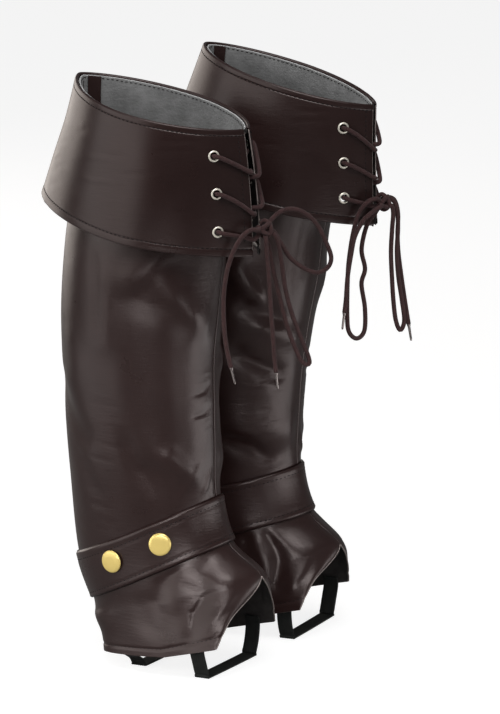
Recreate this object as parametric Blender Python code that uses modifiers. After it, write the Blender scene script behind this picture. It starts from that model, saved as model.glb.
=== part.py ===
"""A pair of imitation leather boot covers, filled out as they are when worn over ankle boots.

Each cover has a leg of two panels, which ends in a foot part like a spat, a flared cuff laced at the
front, a cloth lining in its top, a strap round the ankle with two snaps, and two elastics that pass
under the sole. The left cover mirrors the right one, but leans forward and is squeezed flatter on top.

Every point is worked out in the cover's own frame, in millimetres: forward, towards the toes;
outward, away from the other cover; and up from the level of the boot's sole. place() turns that into
the pair's frame: -Y is the front, -X is the wearer's right, and the origin is midway between the two
ankles, at the height of the straps.
"""

import math
from collections import namedtuple

import bmesh
import bpy
from mathutils import Vector

MM = 0.001

# The pair
PAIR_SPREAD = 145.0            # between the two legs' middles
PAIR_STAGGER = 3.0             # the right cover stands this far back, the left one this far forward
TOE_OUT = math.radians(2.0)    # each cover is turned out this far
ANKLE_HEIGHT = 100.0           # the origin, above the sole

# Walls
LEATHER = 1.5                  # leg panels and cuff
LINING = 1.0
STRAP = 2.4                    # leather folded double
ELASTIC = 1.4
GAP = 0.45                     # between layers that lie on each other
LINING_GAP = 1.0
SEAM = 0.3                     # half of the parting between two panels
TURN_IN = 2.2                  # how far a seam's edge is turned inwards

# Fittings
EYELET_RADIUS = 5.1
EYELET_HOLE = 3.1
EYELET_FLANGE = 0.8
SNAP_RADIUS = 10.0
SNAP_HEIGHT = 4.2
SNAP_PLACES = ((101.0, 8.37), (62.0, 8.43))   # angle round the ankle, row of the leg
LACE_RADIUS = 2.0
AGLET_RADIUS = 1.8
AGLET_LENGTH = 15.0
KNOT_SIZE = (5.5, 8.0, 6.5)    # half sizes: forward, sideways, up
ELASTIC_WIDTH = 14.0

# A section is a closed outline round the leg. It has a point at the front, one at the widest place of
# the side and one at the back, each as (forward, outward, up). A pinch over 1 draws that end to a point.
Section = namedtuple("Section", "name front side back pinch_front pinch_back")

# From the lower end of the cuff's slit down to the hem under the boot.
LEG = (
    Section("slit end", (80.0, SEAM, 394.0), (4.0, 57.0, 403.0), (-67.0, SEAM, 416.0), 1.35, 1.15),
    Section("cuff hem", (77.5, SEAM, 358.0), (0.0, 61.5, 361.0), (-71.5, SEAM, 367.0), 1.30, 1.08),
    Section("calf", (73.0, SEAM, 314.0), (-3.0, 63.5, 313.0), (-74.0, SEAM, 312.0), 1.05, 1.03),
    Section("shin", (68.5, SEAM, 272.0), (-4.0, 62.0, 268.0), (-73.0, SEAM, 262.0), 1.00, 1.00),
    Section("lower shin", (68.5, SEAM, 232.0), (-2.0, 59.0, 224.0), (-71.0, SEAM, 213.0), 1.00, 1.00),
    Section("above ankle", (69.0, SEAM, 195.0), (0.0, 55.0, 180.0), (-67.5, SEAM, 162.0), 1.00, 1.00),
    Section("strap top", (70.5, SEAM, 147.0), (5.0, 49.0, 115.0), (-60.0, SEAM, 85.5), 1.00, 1.00),
    Section("strap bottom", (83.0, SEAM, 107.0), (15.0, 49.5, 73.5), (-42.0, 8.0, 47.0), 1.00, 1.00),
    Section("vamp point", (115.0, SEAM, 80.5), (30.0, 52.0, 50.0), (-33.0, 27.0, 35.0), 1.00, 1.00),
    Section("vamp middle", (105.5, 38.0, 50.0), (42.0, 55.5, 29.0), (-24.0, 32.0, 22.0), 1.00, 0.95),
    Section("foot hem", (99.5, 54.0, 26.0), (50.0, 58.0, 13.5), (-18.5, 38.0, 8.0), 1.00, 0.90),
)
STRAP_ROWS = (8.0, 8.5, 9.0)   # the rows of the full leg, rim included, that the strap lies on

# How the left leg differs, row by row of LEG: how far it stands forward, how much higher its front and
# its side are, and its own pinch at the front.
Lean = namedtuple("Lean", "forward front_rise side_rise pinch_front")
UPRIGHT = Lean(0.0, 0.0, 0.0, None)
LEFT_LEAN = (
    Lean(28.0, 0.0, 0.0, 1.00),
    Lean(18.5, 0.0, 0.0, 0.85),
    Lean(16.5, 0.0, 0.0, 0.85),
    Lean(12.5, 0.0, 0.0, 0.90),
    Lean(6.5, 0.0, 0.0, 0.90),
    Lean(3.0, 0.0, 0.0, 0.92),
    Lean(0.0, -4.0, 10.0, 1.00),
    Lean(-0.5, -6.5, 8.0, 1.00),
    Lean(-3.5, -6.5, 3.0, 1.00),
    Lean(-3.0, -2.0, 0.0, 1.00),
    Lean(-3.0, 0.0, 0.0, 1.00),
)

# The cuff, from the rim down. The back of the outline is drawn sideways, with the leg's back seam.
CuffRow = namedtuple("CuffRow", "front side back pinch_front pinch_back drawn")
RIGHT_CUFF = (
    CuffRow((100.5, 4.4, 474.0), (18.0, 59.0, 488.0), (-72.0, 0.0, 504.0), 1.45, 1.45, 14.0),
    CuffRow((105.5, 5.6, 438.0), (16.0, 64.0, 452.0), (-80.0, 0.0, 470.0), 1.50, 1.45, 11.0),
    CuffRow((109.0, 6.6, 402.0), (14.0, 67.5, 416.0), (-91.0, 0.0, 435.0), 1.65, 1.50, 7.0),
    CuffRow((110.5, 6.9, 366.0), (12.0, 70.5, 380.0), (-102.0, 0.0, 400.0), 1.80, 1.60, 4.0),
)
LEFT_CUFF = (
    CuffRow((143.5, 3.3, 471.0), (62.0, 45.0, 491.0), (-23.0, 0.0, 511.0), 1.45, 1.30, -9.0),
    CuffRow((143.0, 3.5, 437.0), (56.0, 54.0, 457.0), (-35.0, 0.0, 478.0), 1.50, 1.35, -7.0),
    CuffRow((143.5, 3.7, 402.0), (50.0, 62.0, 423.0), (-48.0, 0.0, 444.0), 1.60, 1.45, -5.0),
    CuffRow((144.5, 3.9, 366.0), (46.0, 68.0, 389.0), (-63.0, 0.0, 410.0), 1.80, 1.60, -3.0),
)
INNER_FULLNESS = 0.94          # the side towards the other leg is this much flatter

# Largest folds: from one place to another, each given by its height and its angle round the leg.
# A positive depth is a ridge, a negative one a trough.
Fold = namedtuple("Fold", "height1 angle1 height2 angle2 half_width depth")
OUTER_FOLDS = (
    Fold(378.0, 50.0, 348.0, 74.0, 11.0, 2.4),
    Fold(345.0, 56.0, 302.0, 18.0, 11.0, 2.8),
    Fold(330.0, 70.0, 318.0, 40.0, 12.0, -2.0),
    Fold(392.0, 94.0, 290.0, 94.0, 12.0, 2.2),
    Fold(186.0, 48.0, 152.0, 14.0, 9.0, 2.4),
    Fold(176.0, 62.0, 140.0, 36.0, 9.0, -2.2),
    Fold(240.0, 150.0, 200.0, 120.0, 13.0, -2.4),
    Fold(92.0, 84.0, 40.0, 92.0, 8.0, -3.0),
    Fold(80.0, 52.0, 34.0, 58.0, 7.0, -2.6),
    Fold(96.0, 30.0, 52.0, 40.0, 8.0, 2.4),
)
INNER_FOLDS = (
    Fold(330.0, 62.0, 300.0, 44.0, 12.0, 4.0),
    Fold(306.0, 62.0, 296.0, 34.0, 9.0, -3.6),
    Fold(286.0, 30.0, 262.0, 16.0, 12.0, 2.4),
    Fold(250.0, 64.0, 240.0, 34.0, 10.0, -3.4),
    Fold(226.0, 74.0, 206.0, 34.0, 14.0, 3.4),
    Fold(192.0, 70.0, 172.0, 40.0, 9.0, -3.8),
    Fold(160.0, 78.0, 168.0, 40.0, 8.0, 2.6),
    Fold(340.0, 140.0, 250.0, 120.0, 14.0, 2.8),
    Fold(94.0, 66.0, 50.0, 70.0, 7.0, 3.0),
    Fold(92.0, 50.0, 46.0, 58.0, 7.0, -3.0),
    Fold(96.0, 30.0, 50.0, 44.0, 8.0, 2.6),
)
LEG_GIRTH_RADIUS = 60.0        # turns an angle round the leg into a distance along it

# Columns of the leg's panels, from the front seam (0 degrees) to the back seam (180 degrees).
PANEL_ANGLES = (0.0, 4.0, 17.0, 34.0, 52.0, 71.0, 90.0, 109.0, 127.0, 143.0, 156.0, 168.0, 176.0, 180.0)
SEAM_ANGLES = (0.0, 180.0)     # columns that are turned in; the other layers skip or straighten them
CUFF_ANGLES = (0.0, 8.5, 17.0, 34.0, 52.0, 71.0, 90.0, 109.0, 127.0, 143.0, 156.0, 168.0)
CUFF_ROWS = (0.0, 0.75, 1.5, 2.25, 3.0)
LEG_ROWS = (0.0,) + tuple(1.0 + 0.5 * step for step in range(23))
LINING_ROWS = (0.0, 1.0, 1.5, 2.0)
STRAP_END = 156.0              # the strap's two ends meet here, on the outer side

OUTER, INNER = 1, -1           # the two sides of a cover
SIDE_NAMES = {OUTER: "outer", INNER: "inner"}

# back_strip: the side of the cover on which the strip inside its back lies.
# eyelet_reach: how far the eyelets are from the slit's edge.
Cover = namedtuple("Cover", "name side cuff lean eyelet_rows eyelet_reach back_strip")
RIGHT = Cover("right", -1, RIGHT_CUFF, (UPRIGHT,) * len(LEG), (0.64, 1.50, 2.38), 33.0, INNER)
LEFT = Cover("left", 1, LEFT_CUFF, LEFT_LEAN, (0.66, 1.50, 2.34), 29.5, OUTER)

# One crossing of the lace between two rows of eyelets. Its points run from an eyelet, over the slit's
# near edge and behind its far one, to the eyelet below on the far side. Each has the side it lies on
# (1 for the side where it starts), its distance from that side's edge as a share of the eyelet's, which
# is below 0 in the slit, how far it has come down, from 0 to 1, and its height over the leather. The
# second end of the lace passes the slit below the first one, by the last column.
CROSSING = (
    (1, 1.00, 0.00, -0.6, 0.00),
    (1, 0.96, 0.00, 2.9, 0.00),
    (1, 0.84, 0.03, 3.7, 0.00),
    (1, 0.55, 0.14, 2.8, 0.02),
    (1, 0.25, 0.28, 2.7, 0.08),
    (1, 0.04, 0.40, 3.1, 0.14),
    (1, -0.07, 0.43, 1.5, 0.15),
    (-1, -0.08, 0.43, -3.0, 0.15),
    (-1, 0.04, 0.46, -4.3, 0.15),
    (-1, 0.27, 0.64, -4.3, 0.10),
    (-1, 0.55, 0.83, -4.4, 0.03),
    (-1, 0.82, 0.97, -4.6, 0.00),
    (-1, 0.96, 1.00, -4.0, 0.00),
)
# The ends of the lace inside the top eyelets, and outside the lowest ones, towards the knot.
TOP_BAR = ((0.96, -4.0), (0.65, -5.2), (0.30, -5.4), (0.0, -5.6))
LAST_PULL = ((0.96, 0.00, 2.9), (0.84, 0.02, 3.7), (0.55, 0.06, 2.9), (0.27, 0.10, 3.2), (0.05, 0.14, 4.6))

# The bows, in the covers' own frames: (forward, outward, up).
KNOTS = {"right": (117.5, 0.0, 389.0), "left": (150.5, 0.0, 386.0)}
BOWS = {
    "right": {
        "wide_loop": (
            (121, -10, 397), (126, -15, 402), (134, -21, 404), (143, -29, 399), (150, -37, 388),
            (156, -42, 372), (159, -45, 359), (156, -44, 350), (149, -39, 346), (141, -31, 350),
            (132, -22, 360), (126, -16, 373), (121, -12, 384),
        ),
        "long_loop": (
            (127, -3, 383), (129, -6, 372), (130, -10, 354), (131, -14, 334), (134, -20, 312),
            (139, -27, 290), (143, -33, 273), (144, -33, 266), (140, -28, 268), (135, -22, 284),
            (130, -17, 304), (126, -13, 326), (122, -9, 350), (120, -5, 370), (119, -3, 379),
        ),
        "outer_tail": (
            (117, 11, 390), (115, 17, 391), (111, 24, 388), (105, 30, 376), (100, 34, 358),
            (97, 35, 336), (97, 35, 312), (99, 34, 290), (103, 33, 272),
        ),
        "front_tail": (
            (122, 5, 380), (122, 4, 370), (123, 2, 352), (123, -1, 326), (124, -3, 300),
            (125, -5, 276), (126, -6, 262),
        ),
    },
    "left": {
        "wide_loop": (
            (150, -12, 391), (145, -18, 389), (139, -23, 380), (136, -28, 365), (134, -32, 345),
            (133, -34, 325), (133, -35, 290), (134, -33, 275), (138, -25, 268), (142, -18, 274),
            (142, -17, 294), (140, -20, 316), (142, -17, 329), (140, -20, 347), (143, -15, 368),
            (148, -8, 378),
        ),
        "long_loop": (
            (159, 1, 383), (160, 3, 376), (159, 3, 362), (158, 3, 341), (159, 3, 319),
            (160, 4, 298), (162, 5, 280), (165, 8, 271), (167, 12, 279), (165, 11, 298),
            (162, 10, 319), (161, 9, 341), (162, 9, 362), (161, 9, 378), (157, 8, 387),
        ),
        "outer_tail": (
            (151, 11, 388), (156, 15, 385), (159, 16, 373), (159, 15, 355), (160, 15, 338),
            (162, 16, 320), (165, 17, 298), (169, 17, 275),
        ),
        "front_tail": (
            (154, -11, 384), (150, -17, 381), (144, -25, 374), (139, -32, 361), (137, -36, 345),
            (135, -39, 325), (134, -40, 306), (133, -41, 294),
        ),
    },
}
CORD_STEP = 10.0               # between the points of a free cord


def place(cover, forward, outward, up):
    """A point of a cover, in the pair's frame and in metres."""
    x = PAIR_SPREAD / 2 + outward * math.cos(TOE_OUT) + forward * math.sin(TOE_OUT)
    y = outward * math.sin(TOE_OUT) - forward * math.cos(TOE_OUT) - cover.side * PAIR_STAGGER
    return Vector((cover.side * x, y, up - ANKLE_HEIGHT)) * MM


def mixed(points, share):
    """A smooth value between the middle two of four, each a number or a tuple of numbers."""
    a, b, c, d = points
    if isinstance(b, (tuple, list)):
        return tuple(mixed(group, share) for group in zip(a, b, c, d))
    return 0.5 * (
        2 * b
        + (c - a) * share
        + (2 * a - 5 * b + 4 * c - d) * share ** 2
        + (3 * b - a - 3 * c + d) * share ** 3
    )


def row_between(rows, level):
    """The row at a level that may fall between two rows of a table, on a smooth curve through them."""
    first = min(int(level), len(rows) - 2)
    picks = [rows[min(max(first + k, 0), len(rows) - 1)] for k in (-1, 0, 1, 2)]
    return mixed([tuple(pick) for pick in picks], level - first)


def inset(row, front, side, back):
    """A cuff row drawn inwards by its own amount at the front, the sides and the back."""
    return CuffRow(
        (row.front[0] - front, row.front[1], row.front[2] - 1.0),
        (row.side[0], row.side[1] - side, row.side[2] - 1.0),
        (row.back[0] + back, row.back[1], row.back[2] - 1.0),
        row.pinch_front,
        row.pinch_back,
        row.drawn,
    )


def leg_rows(cover):
    """All rows of a leg, rim first: two that follow the inside of the cuff, then those of LEG."""
    rim = cover.cuff[0]
    below = CuffRow(*row_between(cover.cuff, 0.75))
    rows = [inset(rim, LEATHER + GAP, LEATHER + GAP, LEATHER + GAP), inset(below, 14.5, 9.0, 8.5)]
    for section, lean in zip(LEG, cover.lean):
        rises = (lean.front_rise, lean.side_rise, 0.0)
        ends = (section.front, section.side, section.back)
        points = [(p[0] + lean.forward, p[1], p[2] + rise) for p, rise in zip(ends, rises)]
        drawn = {"slit end": 0.4, "cuff hem": 0.15}.get(section.name, 0.0) * rim.drawn
        pinch = lean.pinch_front or section.pinch_front
        rows.append(CuffRow(*points, pinch, section.pinch_back, drawn))
    return rows


def outline_point(row, side, angle):
    """The point of a row's outline at an angle from the front, on the outer or the inner side."""
    row = CuffRow(*row)
    turn = math.radians(angle)
    in_front = angle <= 90.0
    end = row.front if in_front else row.back
    pinch = row.pinch_front if in_front else row.pinch_back
    drawn = 0.0 if in_front else -row.drawn
    along = abs(math.cos(turn))
    across = math.sin(turn) ** pinch if angle < 180.0 else 0.0
    width = row.side[1] * (INNER_FULLNESS if side == INNER else 1.0)
    parting = max(end[1], SEAM)
    forward = row.side[0] + (end[0] - row.side[0]) * along
    sideways = parting + (width - parting) * across
    outward = side * sideways + drawn * (1.0 - across)
    up = row.side[2] + (end[2] - row.side[2]) * along
    return forward, outward, up


def fold_height(folds, angle, up):
    """How far the folds lift or sink the leather at a place."""
    total = 0.0
    for fold in folds:
        ax, ay = math.radians(fold.angle1) * LEG_GIRTH_RADIUS, fold.height1
        bx, by = math.radians(fold.angle2) * LEG_GIRTH_RADIUS, fold.height2
        px, py = math.radians(angle) * LEG_GIRTH_RADIUS, up
        length = math.hypot(bx - ax, by - ay)
        share = ((px - ax) * (bx - ax) + (py - ay) * (by - ay)) / length ** 2
        near = min(max(share, 0.0), 1.0)
        off = math.hypot(px - ax - near * (bx - ax), py - ay - near * (by - ay))
        total += fold.depth * math.exp(-((off / fold.half_width) ** 2))
    return total


def ramp(value, low, high):
    """0 below low, 1 above high, and smooth between them."""
    share = min(max((value - low) / (high - low), 0.0), 1.0)
    return share * share * (3.0 - 2.0 * share)


def leg_point(rows, side, level, angle, turned=True):
    """A point on the outside of a leg: its row, its folds and its turned seam edges."""
    row = row_between(rows, level)
    forward, outward, up = outline_point(row, side, angle)
    centre = row[1][0]
    calm = ramp(angle, 0.0, 16.0) * ramp(180.0 - angle, 0.0, 16.0) * ramp(level, 1.6, 3.0)
    calm *= 1.0 - 0.85 * ramp(level, 7.3, 7.9) * (1.0 - ramp(level, 9.1, 9.8))
    calm *= 1.0 - ramp(level, 11.2, 12.0)
    lift = calm * fold_height(OUTER_FOLDS if side == OUTER else INNER_FOLDS, angle, up)
    reach = math.hypot(forward - centre, outward)
    forward += lift * (forward - centre) / reach
    outward += lift * outward / reach
    if turned and angle == 0.0:
        forward -= TURN_IN * (1.0 - ramp(level, 9.2, 9.9))
    if turned and angle == 180.0:
        forward += TURN_IN * (1.0 - ramp(level, 8.3, 8.9))
    return forward, outward, up


def new_object(name, data, collection, finish):
    obj = bpy.data.objects.new(name, data)
    collection.objects.link(obj)
    obj.data.materials.append(finish)
    return obj


def sheet_object(name, points, inside, collection, finish, thickness, lift=0.0, spare=(0, 0)):
    """A wall of cloth from a grid of points, points[row][column], and one point on its inner side.

    lift moves the grid along its outward normals first. The wall grows outwards from there where the
    thickness is positive, and inwards where it is negative. The spare columns at both ends and the
    spare rows at the lower end only help to find the normals, and are then dropped.
    """
    rows, columns = len(points), len(points[0])
    bm = bmesh.new()
    bmesh.ops.create_grid(bm, x_segments=columns - 1, y_segments=rows - 1, size=1.0)
    bm.verts.ensure_lookup_table()
    grid = sorted(bm.verts, key=lambda v: (-round(v.co.y, 5), round(v.co.x, 5)))
    flat = [point for row in points for point in row]
    for vert, point in zip(grid, flat):
        vert.co = point
    bm.normal_update()
    facing = sum(face.normal.dot(face.calc_center_median() - inside) for face in bm.faces)
    if facing < 0.0:
        bmesh.ops.reverse_faces(bm, faces=bm.faces)
        bm.normal_update()
    if lift:
        moves = [(vert, vert.co + vert.normal * lift * MM) for vert in bm.verts]
        for vert, target in moves:
            vert.co = target
    side, low = spare
    inner_columns = range(side, columns - side)
    kept = [k % columns in inner_columns and k // columns < rows - low for k in range(len(grid))]
    ends = [vert for vert, keep in zip(grid, kept) if not keep]
    bmesh.ops.delete(bm, geom=ends, context="VERTS")
    mesh = bpy.data.meshes.new(name)
    bm.to_mesh(mesh)
    bm.free()
    mesh.shade_smooth()
    obj = new_object(name, mesh, collection, finish)
    wall = obj.modifiers.new("Wall", "SOLIDIFY")
    wall.thickness = abs(thickness) * MM
    wall.offset = 1.0 if thickness > 0.0 else -1.0
    return obj


def leg_middle(cover, level):
    """A point in the middle of the leg's hollow."""
    side = row_between(leg_rows(cover), level)[1]
    return place(cover, side[0], 0.0, side[2])


def material(name, colour, roughness, metallic=0.0):
    """A plain finish: colour, roughness and metallic value."""
    mat = bpy.data.materials.new(name)
    mat.use_nodes = True
    shader = mat.node_tree.nodes["Principled BSDF"]
    shader.inputs["Base Color"].default_value = (*colour, 1.0)
    shader.inputs["Roughness"].default_value = roughness
    shader.inputs["Metallic"].default_value = metallic
    return mat


def make_leg(cover, side, collection, finish):
    """One panel of the leg, from the rim to the hem of the foot part."""
    rows = leg_rows(cover)
    points = [
        [place(cover, *leg_point(rows, side, level, angle)) for angle in PANEL_ANGLES]
        for level in LEG_ROWS
    ]
    name = f"{cover.name}_leg_{SIDE_NAMES[side]}"
    return sheet_object(name, points, leg_middle(cover, 5.0), collection, finish, -LEATHER)


def ring_columns(angles):
    """(side, angle) all round, from the front on the outer side to the front on the inner side."""
    outer = [(OUTER, angle) for angle in angles]
    inner = [(INNER, angle) for angle in reversed(angles)]
    return outer + [(OUTER, 180.0)] + inner


def make_lining(cover, collection, finish):
    """The cloth inside the top, open at the slit, a layer inside the leg's panels."""
    rows = leg_rows(cover)
    angles = [a for a in PANEL_ANGLES if 0.0 < a < 170.0]
    columns = [(OUTER, a) for a in angles] + [(INNER, a) for a in reversed(angles)]
    points = [
        [place(cover, *leg_point(rows, side, level, angle)) for side, angle in columns]
        for level in LINING_ROWS + (2.5,)
    ]
    return sheet_object(f"{cover.name}_lining", points, leg_middle(cover, 1.0), collection, finish,
                        -LINING, lift=-(LEATHER + LINING_GAP), spare=(1, 1))


def make_back_strip(cover, collection, finish):
    """A strip of leather down the inside of the top, over the lining, beside the back seam."""
    rows = leg_rows(cover)
    side = cover.back_strip
    angles = (150.0, 158.0, 166.0)
    points = [
        [place(cover, *leg_point(rows, side, level, angle, turned=False)) for angle in angles]
        for level in LINING_ROWS
    ]
    return sheet_object(f"{cover.name}_back_strip", points, leg_middle(cover, 1.0), collection, finish,
                        -LINING, lift=-(LEATHER + LINING + 2 * LINING_GAP + 0.5))


def cuff_point(cover, side, level, angle):
    return outline_point(row_between(cover.cuff, level), side, angle)


def make_cuff(cover, collection, cutters, finish):
    """The flared cuff, one piece from one edge of the slit round the back to the other."""
    columns = ring_columns(CUFF_ANGLES)
    points = [
        [place(cover, *cuff_point(cover, side, level, angle)) for side, angle in columns]
        for level in CUFF_ROWS
    ]
    cuff = sheet_object(f"{cover.name}_cuff", points, leg_middle(cover, 1.0), collection, finish,
                        -LEATHER)
    for number, level in enumerate(cover.eyelet_rows, start=1):
        for side in (OUTER, INNER):
            spot, normal = on_cuff(cover, side, cover.eyelet_reach, level)
            hole = cylinder_along(f"{cuff.name}_hole_{SIDE_NAMES[side]}_{number}", spot, normal,
                                  EYELET_HOLE + 0.9, 12.0, cutters)
            cut = cuff.modifiers.new("Eyelet hole", "BOOLEAN")
            cut.object = hole
            cut.operation = "DIFFERENCE"
    return cuff


def cylinder_along(name, centre, axis, radius, length, collection):
    """A cutter: a cylinder round an axis, hidden from the finished part."""
    bm = bmesh.new()
    bmesh.ops.create_cone(bm, cap_ends=True, segments=12, radius1=radius * MM, radius2=radius * MM,
                          depth=length * MM)
    turn = axis.to_track_quat("Z", "Y").to_matrix().to_4x4()
    bmesh.ops.transform(bm, matrix=turn, verts=bm.verts)
    bmesh.ops.translate(bm, vec=centre, verts=bm.verts)
    mesh = bpy.data.meshes.new(name)
    bm.to_mesh(mesh)
    bm.free()
    obj = bpy.data.objects.new(name, mesh)
    collection.objects.link(obj)
    obj.hide_render = True
    obj.display_type = "WIRE"
    return obj


def on_cuff(cover, side, distance, level):
    """The place on the cuff at a distance from the slit's edge, and the leather's outward normal."""

    def spot(at_level, at_angle):
        return place(cover, *cuff_point(cover, side, at_level, at_angle))

    angle = 0.0
    walked = 0.0
    while walked < distance * MM:
        stride = (spot(level, angle + 1.0) - spot(level, angle)).length
        part = min((distance * MM - walked) / stride, 1.0)
        angle += part
        walked += stride * part + 1e-9
    low = max(angle - 4.0, 0.0)
    along = spot(level, low + 8.0) - spot(level, low)
    down = spot(min(level + 0.2, 3.0), angle) - spot(max(level - 0.2, 0.0), angle)
    normal = along.cross(down).normalized()
    outwards = Vector((cover.side * side, -1.0, 0.0))
    return spot(level, angle), (normal if normal.dot(outwards) > 0.0 else -normal)


def turned_object(name, profile, segments, centre, axis, collection, finish):
    """A round piece from its profile, given as (radius, height) in millimetres up its outer side first."""
    bm = bmesh.new()
    verts = [bm.verts.new((radius * MM, 0.0, height * MM)) for radius, height in profile]
    edges = [bm.edges.new(pair) for pair in zip(verts, verts[1:])]
    if profile[0][0] > 0.0 and profile[-1][0] > 0.0:
        edges.append(bm.edges.new((verts[-1], verts[0])))
    bmesh.ops.spin(bm, geom=verts + edges, cent=(0, 0, 0), axis=(0, 0, 1), angle=math.tau,
                   steps=segments, use_merge=True, use_duplicate=False)
    bmesh.ops.remove_doubles(bm, verts=bm.verts, dist=1e-6)
    bmesh.ops.recalc_face_normals(bm, faces=bm.faces)
    mesh = bpy.data.meshes.new(name)
    bm.to_mesh(mesh)
    bm.free()
    mesh.shade_smooth()
    mesh.set_sharp_from_angle(angle=math.radians(40))
    obj = new_object(name, mesh, collection, finish)
    obj.location = centre
    obj.rotation_mode = "QUATERNION"
    obj.rotation_quaternion = axis.to_track_quat("Z", "Y")
    return obj


def make_eyelets(cover, collection, finish):
    """Three eyelets beside each edge of the slit, each a flange with a barrel through the leather."""
    base = GAP
    profile = (
        (EYELET_HOLE, -LEATHER - 0.6),
        (EYELET_HOLE + 0.6, -LEATHER - 0.6),
        (EYELET_HOLE + 0.6, base),
        (EYELET_RADIUS, base),
        (EYELET_RADIUS - 0.7, base + EYELET_FLANGE),
        (EYELET_HOLE, base + EYELET_FLANGE * 0.6),
    )
    for number, level in enumerate(cover.eyelet_rows, start=1):
        for side in (OUTER, INNER):
            spot, normal = on_cuff(cover, side, cover.eyelet_reach, level)
            turned_object(f"{cover.name}_eyelet_{SIDE_NAMES[side]}_{number}", profile, 11, spot, normal,
                          collection, finish)


def strap_points(cover):
    """The leg's own points under the strap: from its outer end, past the heel's outer side, round the
    front and the inner side, and across the back to its other end."""
    rows = leg_rows(cover)
    outer = [(OUTER, a) for a in PANEL_ANGLES if a <= STRAP_END]
    inner = [(INNER, a) for a in PANEL_ANGLES if a not in SEAM_ANGLES]
    tail = [(OUTER, a) for a in (180.0, 176.0, 168.0, STRAP_END + 5.0)]
    grid = []
    for level in STRAP_ROWS:
        line = []
        for side, angle in list(reversed(outer)) + inner + tail:
            forward, outward, up = leg_point(rows, side, level, angle, turned=False)
            if angle == 0.0:
                outward = 0.0
            line.append(place(cover, forward, outward, up))
        grid.append(line)
    return grid


def make_strap(cover, collection, finish):
    """The strap round the ankle, lying on the leg, with its two ends side by side at the back."""
    return sheet_object(f"{cover.name}_strap", strap_points(cover), leg_middle(cover, STRAP_ROWS[1]),
                        collection, finish, STRAP, lift=GAP)


def on_strap(cover, angle, level):
    """The leg's surface under the strap on the outer side, and its outward normal there."""
    rows = leg_rows(cover)

    def spot(at_level, at_angle):
        return place(cover, *leg_point(rows, OUTER, at_level, at_angle, turned=False))

    along = spot(level, angle + 6.0) - spot(level, angle - 6.0)
    down = spot(level + 0.3, angle) - spot(level - 0.3, angle)
    normal = along.cross(down).normalized()
    if normal.x * cover.side < 0.0:
        normal = -normal
    return spot(level, angle), normal


def make_snaps(cover, collection, finish):
    """Two domed snap caps on the strap's outer end."""
    rise = GAP + STRAP + 0.35
    foot = 1.1
    profile = (
        (0.0, 0.0),
        (4.0, 0.0),
        (4.0, foot),
        (SNAP_RADIUS, foot + 0.5),
        (SNAP_RADIUS - 0.7, foot + 1.8),
        (SNAP_RADIUS * 0.6, foot + SNAP_HEIGHT * 0.62),
        (0.0, foot + SNAP_HEIGHT * 0.75),
    )
    for number, (angle, level) in enumerate(SNAP_PLACES, start=1):
        spot, normal = on_strap(cover, angle, level)
        turned_object(f"{cover.name}_snap_{number}", profile, 16, spot + normal * rise * MM, normal,
                      collection, finish)


def smooth_route(points, step):
    """Points about one step apart on a smooth curve through a route."""
    dense = []
    for number in range(len(points) - 1):
        picks = [points[min(max(number + k, 0), len(points) - 1)] for k in (-1, 0, 1, 2)]
        for part in range(12):
            dense.append(Vector(mixed([tuple(pick) for pick in picks], part / 12)))
    dense.append(Vector(points[-1]))
    lengths = [0.0]
    for a, b in zip(dense, dense[1:]):
        lengths.append(lengths[-1] + (b - a).length)
    count = max(round(lengths[-1] / step), 2)
    result = []
    number = 0
    for k in range(count + 1):
        goal = lengths[-1] * k / count
        while number < len(dense) - 2 and lengths[number + 1] < goal:
            number += 1
        share = (goal - lengths[number]) / max(lengths[number + 1] - lengths[number], 1e-12)
        result.append(dense[number].lerp(dense[number + 1], share))
    return result


def cord_object(name, points, radius, collection, finish):
    """A round cord: a poly curve with a bevel and closed ends."""
    curve = bpy.data.curves.new(name, "CURVE")
    curve.dimensions = "3D"
    curve.bevel_depth = radius * MM
    curve.bevel_resolution = 2
    curve.use_fill_caps = True
    spline = curve.splines.new("POLY")
    spline.points.add(len(points) - 1)
    for place_holder, point in zip(spline.points, points):
        place_holder.co = (*point, 1.0)
    return new_object(name, curve, collection, finish)


def lacing_point(cover, side, share, level, height):
    """A point of the lacing, on the cuff or in the slit between its two edges."""
    distance = share * cover.eyelet_reach
    if distance >= 0.0:
        spot, normal = on_cuff(cover, side, distance, level)
        return spot + normal * height * MM
    edge = on_cuff(cover, side, 0.0, level)[0]
    other = on_cuff(cover, -side, 0.0, level)[0]
    across = (other - edge).normalized()
    forward = (place(cover, 1.0, 0.0, 0.0) - place(cover, 0.0, 0.0, 0.0)).normalized()
    return edge - across * distance * MM + forward * height * MM


def lace_half(cover, first_side, second_end):
    """One end of the lace: from the top eyelet of a side down to its last eyelet, and to the knot."""
    route = []
    side = first_side
    rows = cover.eyelet_rows
    for upper, lower in zip(rows, rows[1:]):
        for flip, share, down, height, extra in CROSSING:
            drop = down + (extra if second_end else 0.0)
            route.append((side * flip, share, upper + (lower - upper) * drop, height))
        side = -side
    route.append((side, 1.0, rows[-1], -0.6))
    route += [(side, share, rows[-1] + down, height) for share, down, height in LAST_PULL]
    return [lacing_point(cover, *point) for point in route]


def make_lacing(cover, collection, finish):
    """The part of the lace that the eyelets hold: two ends that cross twice, joined by a bar on top."""
    top = cover.eyelet_rows[0]
    bar = [lacing_point(cover, OUTER, share, top, height) for share, height in TOP_BAR]
    bar += [lacing_point(cover, INNER, share, top, height) for share, height in reversed(TOP_BAR[:-1])]
    first = lace_half(cover, OUTER, False)
    second = lace_half(cover, INNER, True)
    points = list(reversed(first)) + bar + second
    return cord_object(f"{cover.name}_lacing", points, LACE_RADIUS, collection, finish)


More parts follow.
